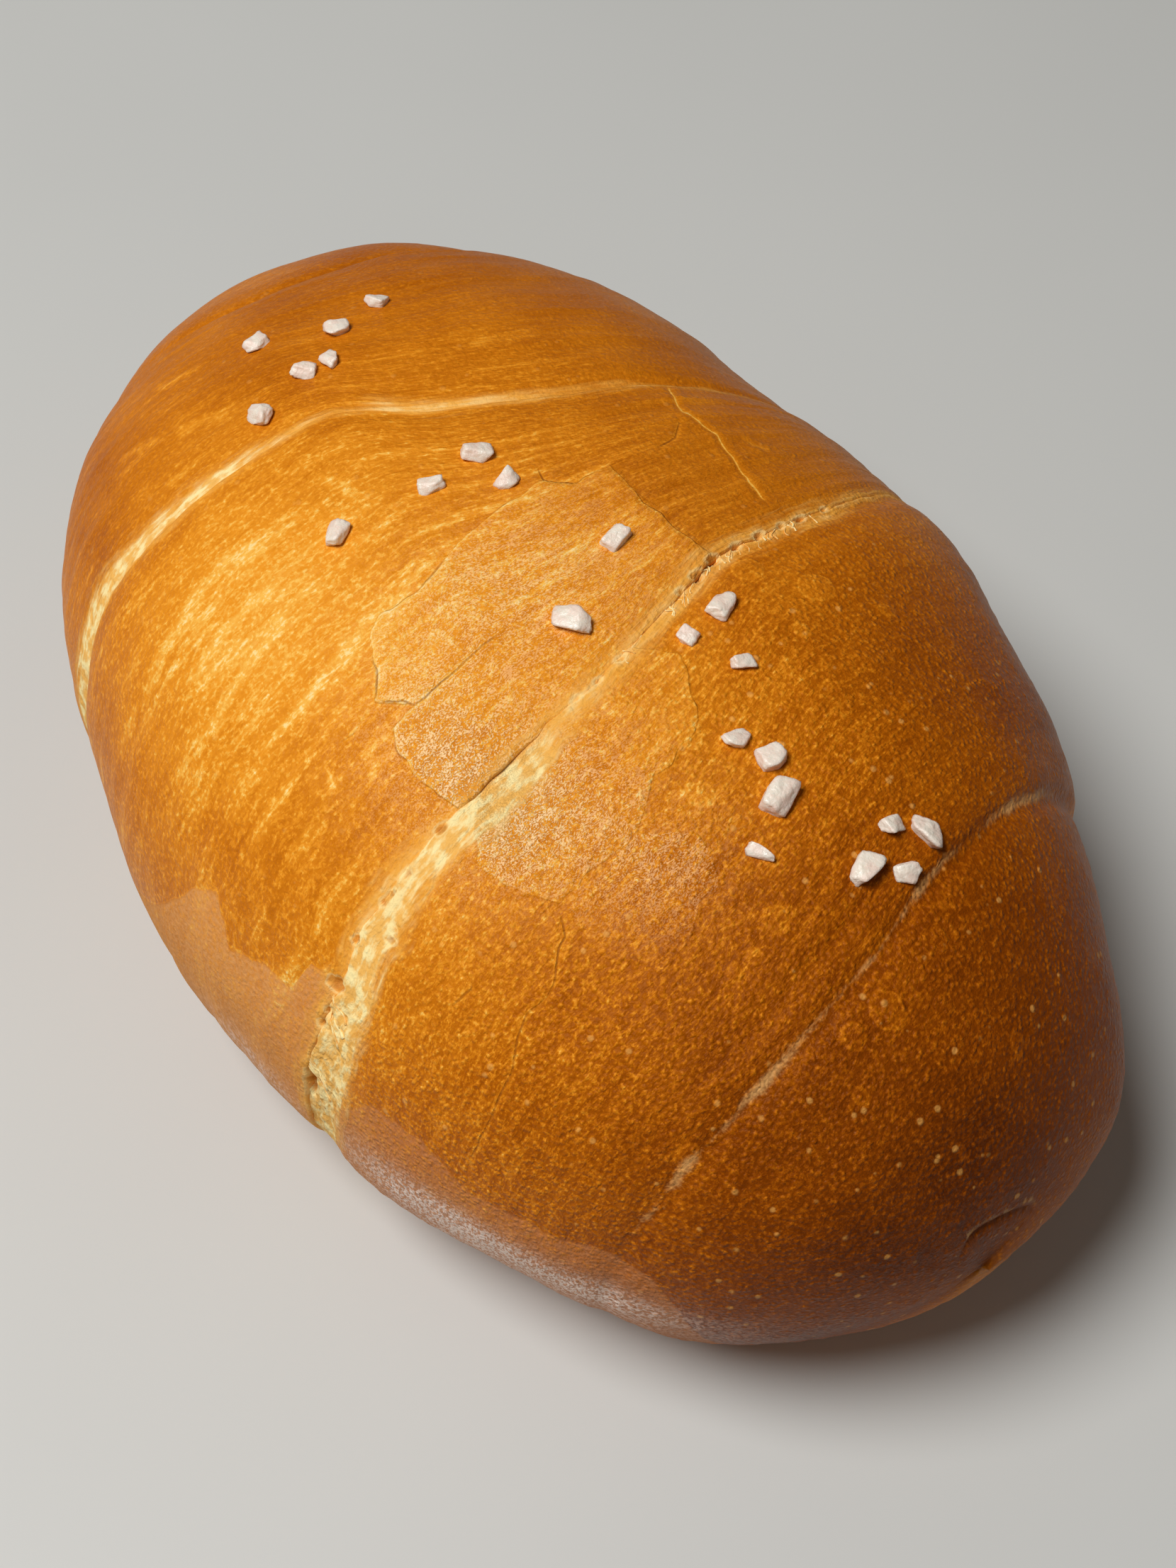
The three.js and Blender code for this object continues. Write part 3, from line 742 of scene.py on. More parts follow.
# rows of one wrap: even shares of u between its seams, crowded at the seams; at an open seam the outer wrap
# ends in a rounded lip, an arc from its top round to its underside, and a lower wrap runs on beneath that lip
def buildWrap(wrap):
    ring = np.arange(wrapMesh["columns"]) * 2 * math.pi / wrapMesh["columns"]
    v = ring - math.pi / 2 + wrapMesh["crestCrowding"] * np.sin(ring)
    names = wrapSeams[wrap]
    bounds = []
    for i, name in enumerate(names):
        bounds.append(seamAngle(name, v) if name else np.full_like(v, math.pi * (i > 0)))
    start, end = bounds[0], bounds[-1]
    before = []
    after = []
    if wrap == "outerWrap":
        lip = np.radians(wrapMesh["lipAngles"])
        radius = wrapMesh["lipRadius"]
        lipIn = np.append(radius * (1 + np.cos(lip)), wrapMesh["lipEnd"][0])
        lipDown = np.append(radius * (np.sin(lip) - 1), wrapMesh["lipEnd"][1])
        for reach, down in zip(lipIn, lipDown):
            before.insert(0, [start + reach / skinSpeed(start), down])
            after.append([end - reach / skinSpeed(end), down])
        bounds = [start + radius / skinSpeed(start), end - radius / skinSpeed(end)]
    for reach in wrapMesh["tuck"]:
        if wrap == "nearWrap":
            before.insert(0, [start - reach / skinSpeed(start), -wrapMesh["tuckDepth"]])
        if wrap == "farWrap":
            after.append([end + reach / skinSpeed(end), -wrapMesh["tuckDepth"]])
    middle = []
    for i, count in enumerate(wrapMesh["rows"][wrap]):
        for k in range(count):
            share = k / count
            share -= wrapMesh["seamCrowding"] * math.sin(2 * math.pi * share) / (2 * math.pi)
            middle.append([bounds[i] + (bounds[i + 1] - bounds[i]) * share, 0])
    if names[0] is None:
        middle = middle[1:]      # the pole is one point
    if names[-1] is not None:
        middle.append([bounds[-1], 0])
    allRows = before + middle + after
    u = np.array([angle for angle, down in allRows])
    extra = np.broadcast_to(np.array([float(down) for angle, down in allRows])[:, None], u.shape)
    points, fields = bakedSkin(u, np.broadcast_to(v, u.shape), wrap, extra)
    if wrap == "outerWrap":
        crust = wrapMesh["lipCrust"]
        underLip = np.where(extra < -crust, 2 * (-extra - crust), outside)
        fields["tear"] = np.maximum(fields["tear"], underLip)

    ends = np.stack([points[0].mean(axis=0), points[-1].mean(axis=0)])
    ends[0, 0] -= wrapMesh["endBulge"] * (names[0] is None)
    ends[1, 0] += wrapMesh["endBulge"] * (names[-1] is None)
    rows, columns = u.shape
    allFields = {}
    for name, values in fields.items():
        flat = values.reshape(rows * columns, -1)
        full = np.concatenate([flat, flat[[0, -1]]])
        allFields[name] = full[:, 0] if values.ndim == 2 else full
    quads, triangles = ringFaces(rows, columns)
    allPoints = np.concatenate([points.reshape(-1, 3), ends])
    return breadPiece(wrap, allPoints, quads, triangles, allFields)


wraps = [buildWrap(wrap) for wrap in wrapSeams]


# strands of torn crumb: degrees round the roll where they start, how many, mm they cross the gap and slant
crumbStrands = {
    "seam": "nearEdge",
    "groups": [{"around": [149, 178], "count": 9, "cross": [1.8, 3.4], "slant": [1.5, 3.5], "thick": 0.16},
               {"around": [58, 92], "count": 30, "cross": [0.7, 1.4], "slant": [-0.5, 0.9], "thick": 0.1}],
    "under": 0.3,
    "sunk": 0.06,
    "sway": 0.35,
    "bow": 0.15,
    "thickShare": [0.5, 1.2],
    "waist": 0.45,
    "steps": 12,
    "sides": 6,
    "seed": 23,
}


# a strand is a tube: a circle that thins towards the middle, carried along a path from under the lip across
# the gap, slanting round the roll and bowed a little off the skin
def buildStrands():
    drawn = np.random.default_rng(crumbStrands["seed"])
    seam = crumbStrands["seam"]
    sides = crumbStrands["sides"]
    share = np.linspace(0, 1, crumbStrands["steps"])
    turn = np.arange(sides) * 2 * math.pi / sides
    shapes = []
    for group in crumbStrands["groups"]:
        count = group["count"]
        start = np.radians(drawn.uniform(*group["around"], count))[:, None]
        cross = drawn.uniform(*group["cross"], count)[:, None]
        slant = drawn.uniform(*group["slant"], count)[:, None] / endRadius
        sway = drawn.uniform(-crumbStrands["sway"], crumbStrands["sway"], count)[:, None] / endRadius
        bow = drawn.uniform(0, crumbStrands["bow"], count)[:, None]
        thick = group["thick"] * drawn.uniform(*crumbStrands["thickShare"], count)[:, None]
        v = start + slant * share + sway * np.sin(2 * math.pi * share)
        edge = seamAngle(seam, v)
        u = edge - seams[seam]["over"] * (cross * share - crumbStrands["under"]) / skinSpeed(edge)
        lift = bow * np.sin(math.pi * share) ** 0.7 - crumbStrands["sunk"]
        path = bakedSkin(u, v, openSeams[seam], lift)[0]
        path = (path + np.roll(path, 1, axis=1) + np.roll(path, -1, axis=1)) / 3
        path[:, 0] = 2 * path[:, 1] - path[:, 2]
        path[:, -1] = 2 * path[:, -2] - path[:, -3]
        ahead = np.gradient(path, axis=1)
        ahead /= np.linalg.norm(ahead, axis=-1, keepdims=True)
        side = np.cross(ahead, ovalNormal(u, v))
        side /= np.linalg.norm(side, axis=-1, keepdims=True)
        up = np.cross(ahead, side)
        waist = crumbStrands["waist"]
        radius = thick * (waist + (1 - waist) * np.abs(2 * share - 1) ** 1.5)
        ring = side[:, :, None] * np.cos(turn)[:, None] + up[:, :, None] * np.sin(turn)[:, None]
        tubes = path[:, :, None] + ring * radius[:, :, None, None]
        for tube, middle in zip(tubes, path):
            shapes.append(np.concatenate([tube.reshape(-1, 3), middle[[0, -1]]]))
    return scatteredPiece("crumbStrands", shapes, *ringFaces(crumbStrands["steps"], sides), "crumb")


strands = buildStrands()


# salt crystals: plan place and width in mm, length and height over width, turn in degrees, number of faces
saltCrystals = [
    [-35.5, 3.5, 1.7, 1.25, 0.6, 20, 9], [-34, -1.5, 2, 1.15, 0.62, 70, 9], [-30.5, -4, 1.7, 1.1, 0.6, 10, 8],
    [-31, -6.5, 1.9, 1.2, 0.6, 40, 9], [-38, -7.5, 1.7, 1.4, 0.6, 100, 7], [-29, -12, 2.1, 1.25, 0.6, 30, 6],
    [-12, -0.5, 2, 1.35, 0.62, 60, 9], [-8, 0, 1.7, 1.3, 0.6, 110, 9], [-11, -5.5, 1.6, 1.5, 0.6, 55, 8],
    [-12, -14, 2, 1.2, 0.62, 120, 9], [2, 4, 1.8, 1.5, 0.6, 110, 7], [7, -3.5, 2.5, 1.35, 0.6, 50, 10],
    [12, 7.5, 2, 1.3, 0.62, 120, 9], [13, 3.5, 1.6, 1.1, 0.6, 20, 8], [17.5, 5.5, 1.5, 1.3, 0.6, 80, 7],
    [23, 1, 1.7, 1.35, 0.55, 90, 8], [25.5, 2.5, 2.1, 1.15, 0.68, 80, 9], [28.5, 1, 2.5, 1.25, 0.68, 130, 8],
    [31.5, -3, 1.35, 1.8, 0.68, 15, 10], [36.5, 3.5, 2.2, 1.35, 0.6, 120, 6], [38, 6.5, 1.8, 1.3, 0.6, 70, 8],
    [36, 9.5, 2.3, 1.2, 0.62, 40, 9], [34.5, 7.5, 1.6, 1.2, 0.62, 90, 8],
]
saltShape = {"rows": 26, "columns": 36, "edge": 18, "stand": 0.28, "seed": 7, "rough": 0.08, "lean": 0.35,
             "away": [0.75, 1.05],
             "flats": [[0, 0, 1], [0, 0, -1], [1, 0.1, 0], [-1, 0, 0.1], [0, 1, 0.1]]}


# a broken crystal: in each direction the radius is where the nearest of its flat faces is met, with a sum of
# high powers rounding the edges a little
def buildSalt():
    drawn = np.random.default_rng(saltShape["seed"])
    flats = np.array(saltShape["flats"])
    polar = np.linspace(0, math.pi, saltShape["rows"] + 2)[1:-1]
    circle = np.arange(saltShape["columns"]) * 2 * math.pi / saltShape["columns"]
    polar, turn = np.meshgrid(polar, circle, indexing="ij")
    direction = np.stack([np.sin(polar) * np.cos(turn), np.sin(polar) * np.sin(turn), np.cos(polar)], axis=-1)
    direction = np.concatenate([direction.reshape(-1, 3), [[0, 0, 1], [0, 0, -1]]])
    shapes = []
    for index, (x, y, width, length, tall, spin, faces) in enumerate(saltCrystals):
        facing = drawn.normal(size=(faces + len(flats), 3))
        facing = np.concatenate([facing[:faces], flats])
        facing /= np.linalg.norm(facing, axis=1, keepdims=True)
        away = drawn.uniform(*saltShape["away"], len(facing))
        met = np.maximum(direction @ facing.T, 0) / away
        radius = (met ** saltShape["edge"]).sum(axis=1) ** (-1 / saltShape["edge"])
        radius *= 1 + saltShape["rough"] * layeredNoise(direction * 2.2 + index * 9, 101, 2)
        shape = direction * radius[:, None]
        low = shape.min(axis=0)
        high = shape.max(axis=0)
        shape = (shape - (high + low) / 2) / (high - low) * [width * length, width, width * tall]
        lean = drawn.uniform(-saltShape["lean"], saltShape["lean"], 2)
        u, v = [np.array([float(angle)]) for angle in planAngles(x, y)]
        wrap = "nearWrap" if seamInside("nearEdge", u, v)[0] < 0 else "outerWrap"
        wrap = "farWrap" if seamInside("farEdge", u, v)[0] < 0 else wrap
        seat = bakedSkin(u, v, wrap, np.zeros(1))[0][0]
        up = ovalNormal(u, v)[0] + [lean[0], lean[1], 0]
        up = up / np.linalg.norm(up)
        side = np.cross([math.cos(math.radians(spin)), math.sin(math.radians(spin)), 0], up)
        side = side / np.linalg.norm(side)
        ahead = np.cross(up, side)
        shapes.append(seat + shape @ np.stack([ahead, -side, up]) + up * (tall * width * saltShape["stand"]))
    quads, triangles = ringFaces(saltShape["rows"], saltShape["columns"])
    return scatteredPiece("saltCrystals", shapes, quads[:, ::-1], triangles[:, ::-1], "salt")


salt = buildSalt()


# a colour as read off a screen, 0 to 255, to the linear values that shaders take
def srgb(red, green, blue):
    parts = np.array([red, green, blue]) / 255
    linear = np.where(parts <= 0.04045, parts / 12.92, ((parts + 0.055) / 1.055) ** 2.4)
    return (*linear.tolist(), 1)


# a value or colour on its way through a node tree: + - * add Math nodes, step a smooth Map Range
class Shade:
    def __init__(self, tree, socket):
        self.tree = tree
        self.socket = socket

    def math(self, operation, first, second):
        return addNode(self.tree, "ShaderNodeMath", {"operation": operation}, {0: first, 1: second}, 0)

    def __add__(self, other):
        return self.math("ADD", self, other)

    def __sub__(self, other):
        return self.math("SUBTRACT", self, other)

    def __rsub__(self, other):
        return self.math("SUBTRACT", other, self)

    def __mul__(self, other):
        return self.math("MULTIPLY", self, other)

    def most(self, other):
        return self.math("MAXIMUM", self, other)

    def plain(self):
        return self.math("ABSOLUTE", self, 0)

    def step(self, low, high, toLow=0, toHigh=1):
        settings = {"interpolation_type": "SMOOTHSTEP"}
        inputs = {"Value": self, "From Min": low, "From Max": high, "To Min": toLow, "To Max": toHigh}
        return addNode(self.tree, "ShaderNodeMapRange", settings, inputs, "Result")

    def other(self, output):
        return Shade(self.tree, self.socket.node.outputs[output])

    def feed(self, shader, key):
        self.tree.links.new(self.socket, shader.inputs[key])


# a node with its settings and its inputs, which are numbers or shades to link; gives one of its outputs
def addNode(tree, kind, settings, inputs, output):
    made = tree.nodes.new(kind)
    for key, value in settings.items():
        setattr(made, key, value)
    for key, value in inputs.items():
        if isinstance(value, Shade):
            tree.links.new(value.socket, made.inputs[key])
        else:
            made.inputs[key].default_value = value
    return Shade(tree, made.outputs[output])


# the first colour where the factor is 0, the second where it is 1
def mixColour(factor, first, second):
    inputs = {"Factor": factor, 6: first, 7: second}
    return addNode(factor.tree, "ShaderNodeMix", {"data_type": "RGBA"}, inputs, 2)


# a field of the mesh by its name
def field(tree, name, output="Fac"):
    return addNode(tree, "ShaderNodeAttribute", {"attribute_name": name}, {}, output)


# a place multiplied along each axis
def scaled(place, scale):
    inputs = {"Vector": place, "Scale": scale}
    return addNode(place.tree, "ShaderNodeMapping", {"vector_type": "POINT"}, inputs, 0)


# noise of a scaled place: detail is the number of layers, rough how strong the fine ones are
def noise(place, scale, detail, rough):
    inputs = {"Vector": scaled(place, scale), "Scale": 1, "Detail": detail, "Roughness": rough}
    return addNode(place.tree, "ShaderNodeTexNoise", {}, inputs, "Fac")


# the piece's own place in millimetres
def objectPlace(tree):
    return scaled(addNode(tree, "ShaderNodeTexCoord", {}, {}, "Object"), (1 / mm, 1 / mm, 1 / mm))


# distance to random dots in cells of one size
def dotsOf(place, scale):
    inputs = {"Vector": place, "Scale": scale}
    return addNode(place.tree, "ShaderNodeTexVoronoi", {"feature": "F1"}, inputs, "Distance")


# bump of a shader from a relief in millimetres
def bumpFrom(relief, shader):
    inputs = {"Height": relief, "Distance": mm, "Strength": 1.0}
    addNode(relief.tree, "ShaderNodeBump", {}, inputs, "Normal").feed(shader, "Normal")


# a material with the plain numbers of its shader set
def newMaterial(name, plain):
    material = bpy.data.materials.new(name)
    material.use_nodes = True
    shader = material.node_tree.nodes["Principled BSDF"]
    for key, value in plain.items():
        shader.inputs[key].default_value = value
    return material, material.node_tree, shader


crumbLook = {
    "pale": srgb(255, 232, 166), "golden": srgb(243, 168, 62), "deep": srgb(243, 184, 94),
    "amber": srgb(236, 178, 84),
    "fibre": [(2.2, 0.45, 1), 4, 0.6], "hollow": [(0.9, 0.6, 0.6), 3, 0.5],
    "plain": {"Roughness": 0.6},
    "relief": 0.1,
}


# torn crumb, on the crust's tears and on loose strands: pale silky fibres with deeper hollows between them
def buildCrumbGroup():
    group = bpy.data.node_groups.new("tornCrumb", "ShaderNodeTree")
    group.interface.new_socket("Place", in_out="INPUT", socket_type="NodeSocketVector")
    group.interface.new_socket("Colour", in_out="OUTPUT", socket_type="NodeSocketColor")
    group.interface.new_socket("Height", in_out="OUTPUT", socket_type="NodeSocketFloat")
    place = addNode(group, "NodeGroupInput", {}, {}, "Place")
    end = group.nodes.new("NodeGroupOutput")
    fibre = noise(place, *crumbLook["fibre"])
    hollow = noise(place, *crumbLook["hollow"])
    deep = (fibre + hollow).step(0.84, 1.12)
    mixColour(deep, crumbLook["pale"], crumbLook["deep"]).feed(end, "Colour")
    (1 - fibre).feed(end, "Height")
    return group


crumbGroup = buildCrumbGroup()


# the group's colour at a place
def crumbAt(place):
    return addNode(place.tree, "ShaderNodeGroup", {"node_tree": crumbGroup}, {"Place": place}, "Colour")


# grain follows the winding, mottle the piece's place: scale in 1/mm, layers, roughness
crustLook = {
    "plain": {"Specular IOR Level": 0.12, "Specular Tint": srgb(255, 218, 168)},
    "stops": [[0, 252, 218, 146], [0.14, 248, 188, 82], [0.3, 236, 150, 36], [0.46, 209, 121, 17],
              [0.62, 176, 92, 5], [0.8, 136, 63, 1], [1, 90, 36, 0]],
    "unwashed": [srgb(236, 170, 98), srgb(204, 134, 84)],      # on the smooth wraps, and on the near lobe
    # flour bloom, partly a painted reflection of the pale floor on the lower rim
    "flourAndReflection": srgb(244, 218, 202),
    # painted glint: highlights of the plates' fine relief painted into the colour
    "paintedGlint": srgb(255, 212, 160),
    # pale split crumb, also the painted highlight along the near core's crease
    "split": srgb(246, 190, 118),
    "dot": srgb(244, 176, 88),
    # dark of open cracks, also used for the painted shadow under lifted plate edges
    "crack": srgb(142, 74, 20),
    "hole": srgb(186, 112, 36),
    "rough": [0.33, 0.5],
    "grain": {"fleck": [(4.2, 1.2, 1.2), 3, 0.6], "glitter": [(4, 2.6, 2.6), 2, 0.5],
              "stroke": [(1.7, 0.2, 0.2), 4, 0.6], "streak": [(0.75, 0.075, 0.075), 4, 0.65],
              "sparkle": [(11, 6, 6), 2, 0.5], "cluster": [(1.6, 0.7, 0.7), 2, 0.5]},
    "mottle": {"mottle": [(2.4, 2.4, 2.4), 3, 0.6], "cloud": [(0.16, 0.16, 0.16), 3, 0.5],
               "patchy": [(0.3, 0.3, 0.3), 2, 0.5]},
    "pebbles": 1.9,
    "dots": 0.8,
}


# baked crust: a ramp of browning and painted shade, stirred by flecks and streaks along the winding, pebbles
# and pale dots, with plates and their painted glints and edge shadows, cracks, torn crumb, pale splits with a
# painted highlight at the near core, and the matt unwashed base with its flour bloom and painted reflection
# laid over it
def buildCrustMaterial():
    material, tree, shader = newMaterial("bakedCrust", crustLook["plain"])
    place = objectPlace(tree)
    wound = field(tree, "wrapPlace", "Vector")
    grains = [noise(wound, *look) for look in crustLook["grain"].values()]
    fleck, glitter, stroke, streak, sparkle, cluster = grains
    mottle, cloud, patchy = [noise(place, *look) for look in crustLook["mottle"].values()]
    pebble = field(tree, "pebble")
    smooth = 1 - pebble
    strength = field(tree, "flecked")
    pebbles = dotsOf(place, crustLook["pebbles"]).step(0.05, 0.6, 1, 0)
    dots = dotsOf(place, crustLook["dots"])
    dotNumber = addNode(tree, "ShaderNodeSeparateColor", {}, {0: dots.other("Color")}, 0)
    dot = (dots + (mottle - 0.5) * 0.2 - dotNumber.step(0.5, 1, -0.08, 0.24)).step(-0.1, 0.06, 1, 0)

    # browning and painted shade, stirred by the grain
    flecks = fleck.step(0.48, 0.68, -0.03, 0.16) + glitter.step(0.52, 0.7, -0.03, 0.15)
    bakeAndShade = field(tree, "bakeAndShade") + ((stroke - 0.5) * 0.4 - flecks) * strength + (cloud - 0.5) * 0.14
    bakeAndShade = bakeAndShade - (mottle.step(0.5, 0.68, -0.03, 0.11) + (pebbles - 0.4) * 0.11) * pebble
    strand = (field(tree, "strand") + (stroke - 0.5) * 1.5).step(-0.6, 0.35, 0, 0.16)
    paleStreak = streak.step(0.5, 0.7, 0, 0.38) * smooth * strength
    bakeAndShade = bakeAndShade - (paleStreak + strand) * fleck.step(0.35, 0.6, 0.6, 1)
    bubble = field(tree, "bubble")
    bakeAndShade = bakeAndShade - bubble.step(-0.1, 0.1) * bubble.step(0.1, 0.35, 1, 0.45) * 0.13

    # edges of plates and cracks, with a painted shadow under the plates' lifted edges
    plate = field(tree, "plate")
    plateLine = field(tree, "plateLine")
    plateRim = plate.step(-0.02, 0.05) * plate.step(0.1, 0.4, 1, 0) * plateLine
    # painted shadow just outside a plate's lifted edge
    plateEdgeShadow = plate.step(-0.16, -0.05) * plate.step(-0.03, 0.04, 1, 0) * plateLine
    crackAway = field(tree, "crack").plain()
    crackNear = field(tree, "crackNear")
    crackDark = field(tree, "crackDark")
    crackLine = crackAway.step(0.03, 0.12, 1, 0) * crackNear
    crackRim = crackAway.step(0.12, 0.4, 1, 0) * crackNear
    bakeAndShade = bakeAndShade - crackLine * crackDark.step(0, -1, 0, 0.3) - plateRim.most(crackRim * 0.7) * 0.12
    # painted shadow under plate edges, taken together with the dark of open cracks
    gap = (plateEdgeShadow * patchy.step(0.38, 0.62, 0.15, 1) * 0.5).most(crackLine * crackDark.step(0, 1))

    # drier plates with painted glints, and the edge of the wash
    dryAndPaintedGlint = plate.step(-0.05, 0.1, 0.35, 1) * field(tree, "dryAndPaintedGlint")
    # painted highlights scattered over the drier plates
    paintedGlint = (sparkle + cluster * 0.4).step(0.65, 0.8, 0, 1.1) * dryAndPaintedGlint
    bakeAndShade = bakeAndShade + dryAndPaintedGlint * 0.04 - paintedGlint * 0.16
    unwashed = field(tree, "unwashed") + (mottle - 0.5) * 0.9
    washEdge = unwashed.step(-0.35, -0.08, 0, 0.16) * unwashed.step(-0.08, 0.1, 1, 0)
    bakeAndShade = bakeAndShade - washEdge * smooth

    colour = addNode(tree, "ShaderNodeValToRGB", {}, {"Fac": bakeAndShade}, "Color")
    stops = colour.socket.node.color_ramp.elements
    while len(stops) < len(crustLook["stops"]):
        stops.new(0.5)
    for stop, (position, red, green, blue) in zip(stops, crustLook["stops"]):
        stop.position = position
        stop.color = srgb(red, green, blue)
    colour = mixColour(paintedGlint * 0.62, colour, crustLook["paintedGlint"])
    colour = mixColour(dot * pebble * 0.5, colour, crustLook["dot"])

    # matt unwashed base and its flour bloom, partly a painted reflection along the lower rim
    matt = unwashed.step(-0.1, 0.3)
    velvet = mottle.step(0.35, 0.65, 0, 0.3) + glitter.step(0.35, 0.65, 0, 0.3)
    mattColour = mixColour(pebble, *crustLook["unwashed"])
    mattColour = mixColour(velvet + pebble * 0.2, mattColour, colour)
    colour = mixColour(matt, colour, mattColour)
    # flour bloom, partly a painted reflection, laid over the matt base
    flourAndReflection = field(tree, "flourAndReflection") * (fleck + glitter).step(0.9, 1.12, 0.2, 1.1)
    colour = mixColour(flourAndReflection, colour, crustLook["flourAndReflection"])
    # darken open cracks and paint the shadow under lifted plate edges
    colour = mixColour(gap * patchy.step(0.35, 0.6, 0.35, 0.85), colour, crustLook["crack"])

    # torn crumb, splits with a painted highlight at the near core, and holes
    crumb = crumbAt(field(tree, "tornPlace", "Vector"))
    tear = field(tree, "tear") + (stroke - 0.5) * 4
    torn = tear.step(-1.3, 0.7)
    paleness = tear.step(-0.5, 1, 0.4, 1.4) * field(tree, "crumbPale")
    crumbColour = mixColour(paleness, crumbLook["golden"], crumb)
    crumbColour = mixColour(field(tree, "cells").step(0.1, 1, 0, 0.5), crumbColour, crumbLook["amber"])
    colour = mixColour(torn, colour, crumbColour)
    # pale splits, and the painted highlight along the near core's crease
    split = field(tree, "split") + (glitter - 0.5) * 0.8
    colour = mixColour(split.step(-0.45, 0.4, 0, 0.6), colour, crustLook["split"])
    hole = field(tree, "hole")
    holeRim = hole.step(-0.25, -0.05, 0, 0.4) * hole.step(-0.05, 0.08, 1, 0)
    colour = mixColour(holeRim, colour, crumbLook["pale"])
    colour = mixColour(hole.step(0, 0.25, 0, 0.65), colour, crustLook["hole"])
    colour.feed(shader, "Base Color")

    rough = mottle.step(0.3, 0.7, *crustLook["rough"]) + matt.most(torn) * 0.3 - dryAndPaintedGlint * 0.08
    rough.feed(shader, "Roughness")
    relief = plate.step(-0.1, 0.06, 0, 0.03)
    reliefs = [(pebbles * pebble, 0.08), (mottle, 0.1), (fleck, 0.1), (glitter, -0.05), (dot, 0.04),
               (paintedGlint, 0.03), (gap, -0.05), (torn * crumb.other("Height"), 0.15)]
    for part, height in reliefs:
        relief = relief + part * height
    bumpFrom(relief, shader)
    return material


# loose strands of crumb: the same fibres by the piece's own place
def buildCrumbMaterial():
    material, tree, shader = newMaterial("crumbFibre", crumbLook["plain"])
    crumb = crumbAt(objectPlace(tree))
    crumb.feed(shader, "Base Color")
    bumpFrom(crumb.other("Height") * crumbLook["relief"], shader)
    return material


saltLook = {
    "plain": {"IOR": 1.54, "Transmission Weight": 0.1, "Subsurface Weight": 0.25, "Subsurface Scale": mm,
              "Subsurface Radius": (1, 0.9, 0.8)},
    "clear": srgb(255, 240, 222), "milky": srgb(250, 222, 204),
    "veil": [(0.9, 0.9, 0.9), 4, 0.6], "pits": [(2.6, 2.6, 2.6), 4, 0.55],
    "rough": [0.22, 0.45],
    "relief": 0.12,
}


# cloudy salt: clear and milky veils, and fine pitting of its broken faces
def buildSaltMaterial():
    material, tree, shader = newMaterial("coarseSalt", saltLook["plain"])
    place = objectPlace(tree)
    veil = noise(place, *saltLook["veil"])
    mixColour(veil.step(0.35, 0.65), saltLook["clear"], saltLook["milky"]).feed(shader, "Base Color")
    veil.step(0.3, 0.7, *saltLook["rough"]).feed(shader, "Roughness")
    bumpFrom(noise(place, *saltLook["pits"]) * saltLook["relief"], shader)
    return material


crustMaterial = buildCrustMaterial()
for wrap in wraps:
    wrap.data.materials.append(crustMaterial)
salt.data.materials.append(buildSaltMaterial())
strands.data.materials.append(buildCrumbMaterial())
print("materials done")


# plain pale floor with a faint change of tone; reach in metres, cells along each side
floorForm = {"reach": 6, "cells": 8, "colour": srgb(206, 206, 202), "dimmer": 0.95,
             "tone": [(0.02, 0.02, 0.02), 2, 0.5], "plain": {"Roughness": 0.55}}


# a flat grid of square cells at the height of the base
def buildFloor():
    cells = floorForm["cells"]
    side = np.linspace(-floorForm["reach"], floorForm["reach"], cells + 1)
    x, y = np.meshgrid(side, side, indexing="ij")
    points = np.stack([x, y, np.zeros_like(x)], axis=-1).reshape(-1, 3)
    row, column = np.meshgrid(np.arange(cells), np.arange(cells), indexing="ij")
    corner = row * (cells + 1) + column
    quads = np.stack([corner, corner + cells + 1, corner + cells + 2, corner + 1], axis=-1)
    mesh = bpy.data.meshes.new("floor")
    mesh.from_pydata(points.tolist(), [], quads.reshape(-1, 4).tolist())
    floor = bpy.data.objects.new("floor", mesh)
    bpy.context.collection.objects.link(floor)
    material, tree, shader = newMaterial("paleFloor", floorForm["plain"])
    pale = floorForm["colour"]
    dim = tuple(part * floorForm["dimmer"] for part in pale[:3]) + (1,)
    mixColour(noise(objectPlace(tree), *floorForm["tone"]), pale, dim).feed(shader, "Base Color")
    mesh.materials.append(material)


buildFloor()

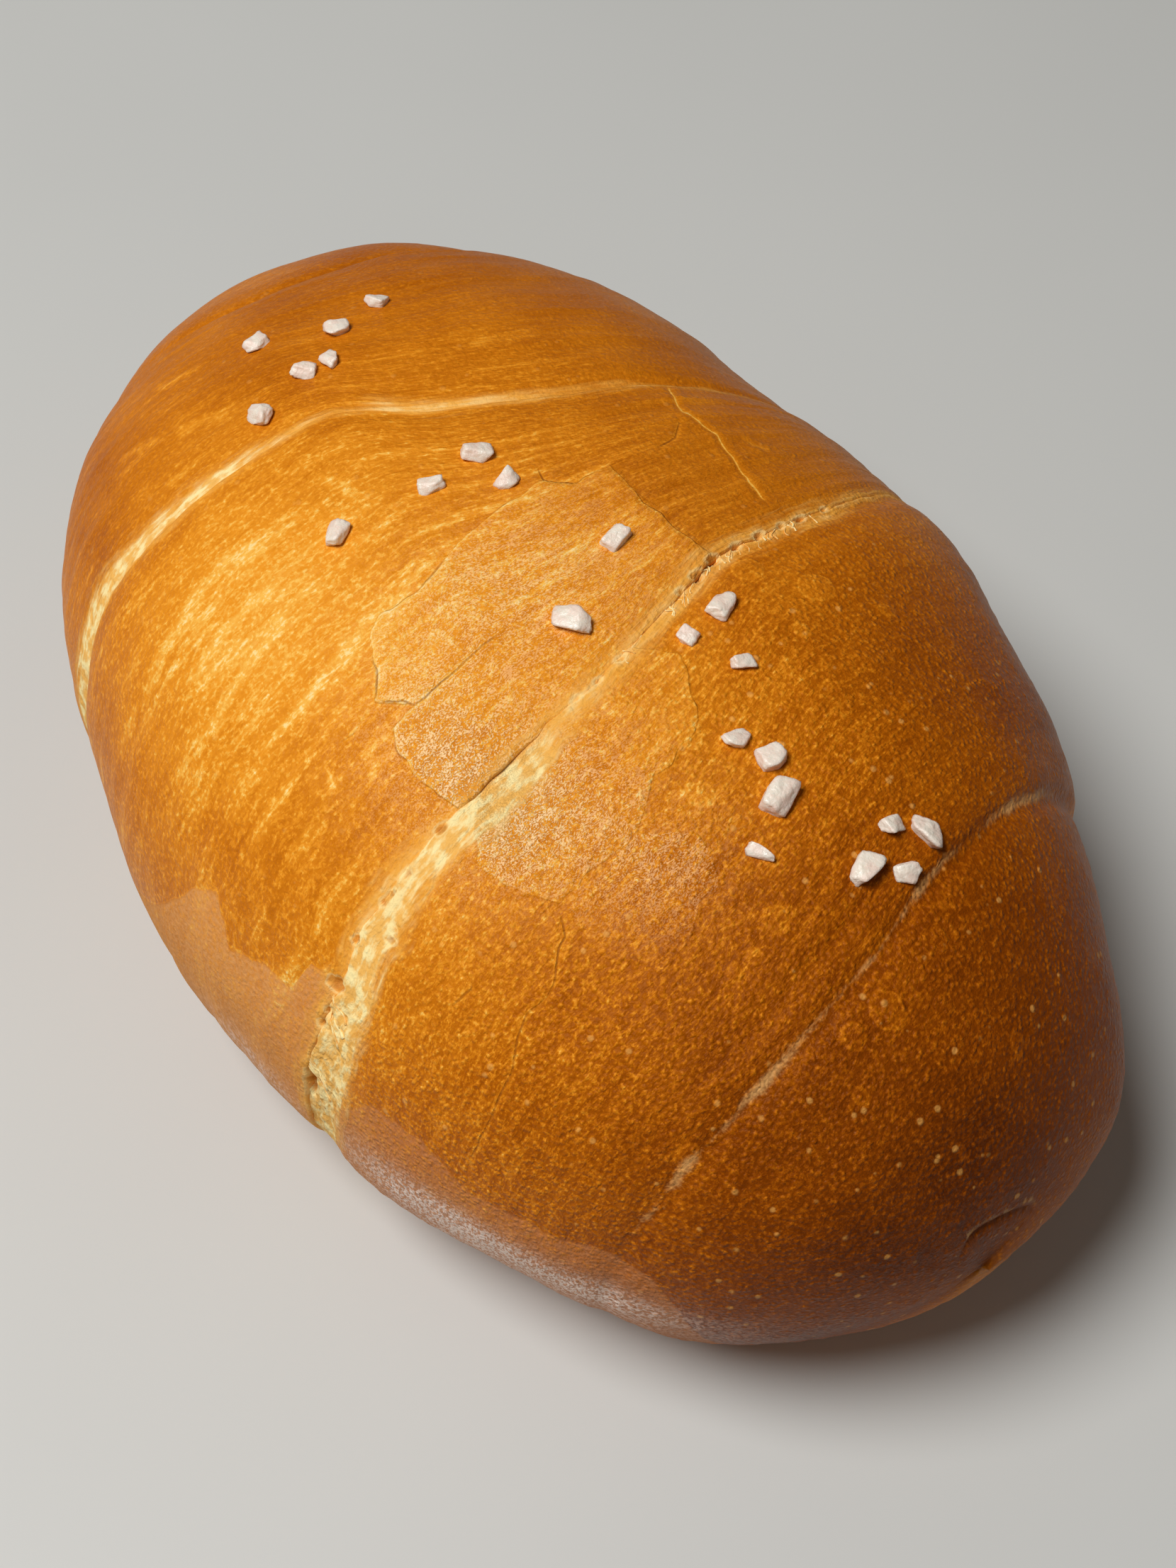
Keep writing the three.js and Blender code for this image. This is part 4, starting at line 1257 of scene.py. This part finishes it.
# soft studio light: direction it comes from, metres away, size in metres and power
studioLights = {
    "key": {"from": [-0.1, -0.4, 0.91], "away": 0.75, "size": 0.36, "power": 5.4},
    "fill": {"from": [0.75, 0.1, 0.65], "away": 0.9, "size": 0.8, "power": 0.2},
}
room = {"colour": srgb(250, 244, 234), "strength": 0.08}
aim = np.array([0, 0, 0.022])


# rotation of a lamp or camera whose back points along a direction, upright
def aimedRotation(back):
    right = np.cross([0, 0, 1], back)
    right = right / np.linalg.norm(right)
    up = np.cross(back, right)
    return Matrix(np.stack([right, up, back], axis=1).tolist()).to_euler()


for name, light in studioLights.items():
    lamp = bpy.data.lights.new(name, "AREA")
    lamp.shape = "DISK"
    lamp.size = light["size"]
    lamp.energy = light["power"]
    back = np.array(light["from"]) / np.linalg.norm(light["from"])
    stand = bpy.data.objects.new(name, lamp)
    stand.location = aim + back * light["away"]
    stand.rotation_euler = aimedRotation(back)
    bpy.context.collection.objects.link(stand)

world = bpy.data.worlds.new("softRoom")
world.use_nodes = True
world.node_tree.nodes["Background"].inputs["Color"].default_value = room["colour"]
world.node_tree.nodes["Background"].inputs["Strength"].default_value = room["strength"]
bpy.context.scene.world = world
bpy.context.scene.view_settings.view_transform = "Standard"
print("floor and lights done")

# camera at the picture's angle: azimuth and elevation in degrees, distance from the aim in metres
cameraForm = {"azimuth": 56.48, "elevation": 55, "away": 0.214, "lens": 54.16, "shift": [0.0173, -0.0273]}
azimuth = math.radians(cameraForm["azimuth"])
elevation = math.radians(cameraForm["elevation"])
level = math.cos(elevation)
back = np.array([math.sin(azimuth) * level, -math.cos(azimuth) * level, math.sin(elevation)])
lens = bpy.data.cameras.new("camera")
lens.lens = cameraForm["lens"]
lens.shift_x = cameraForm["shift"][0]
lens.shift_y = cameraForm["shift"][1]
lens.clip_start = 0.01
camera = bpy.data.objects.new("camera", lens)
camera.location = aim + back * cameraForm["away"]
camera.rotation_euler = aimedRotation(back)
bpy.context.collection.objects.link(camera)
bpy.context.scene.camera = camera
print("camera done")
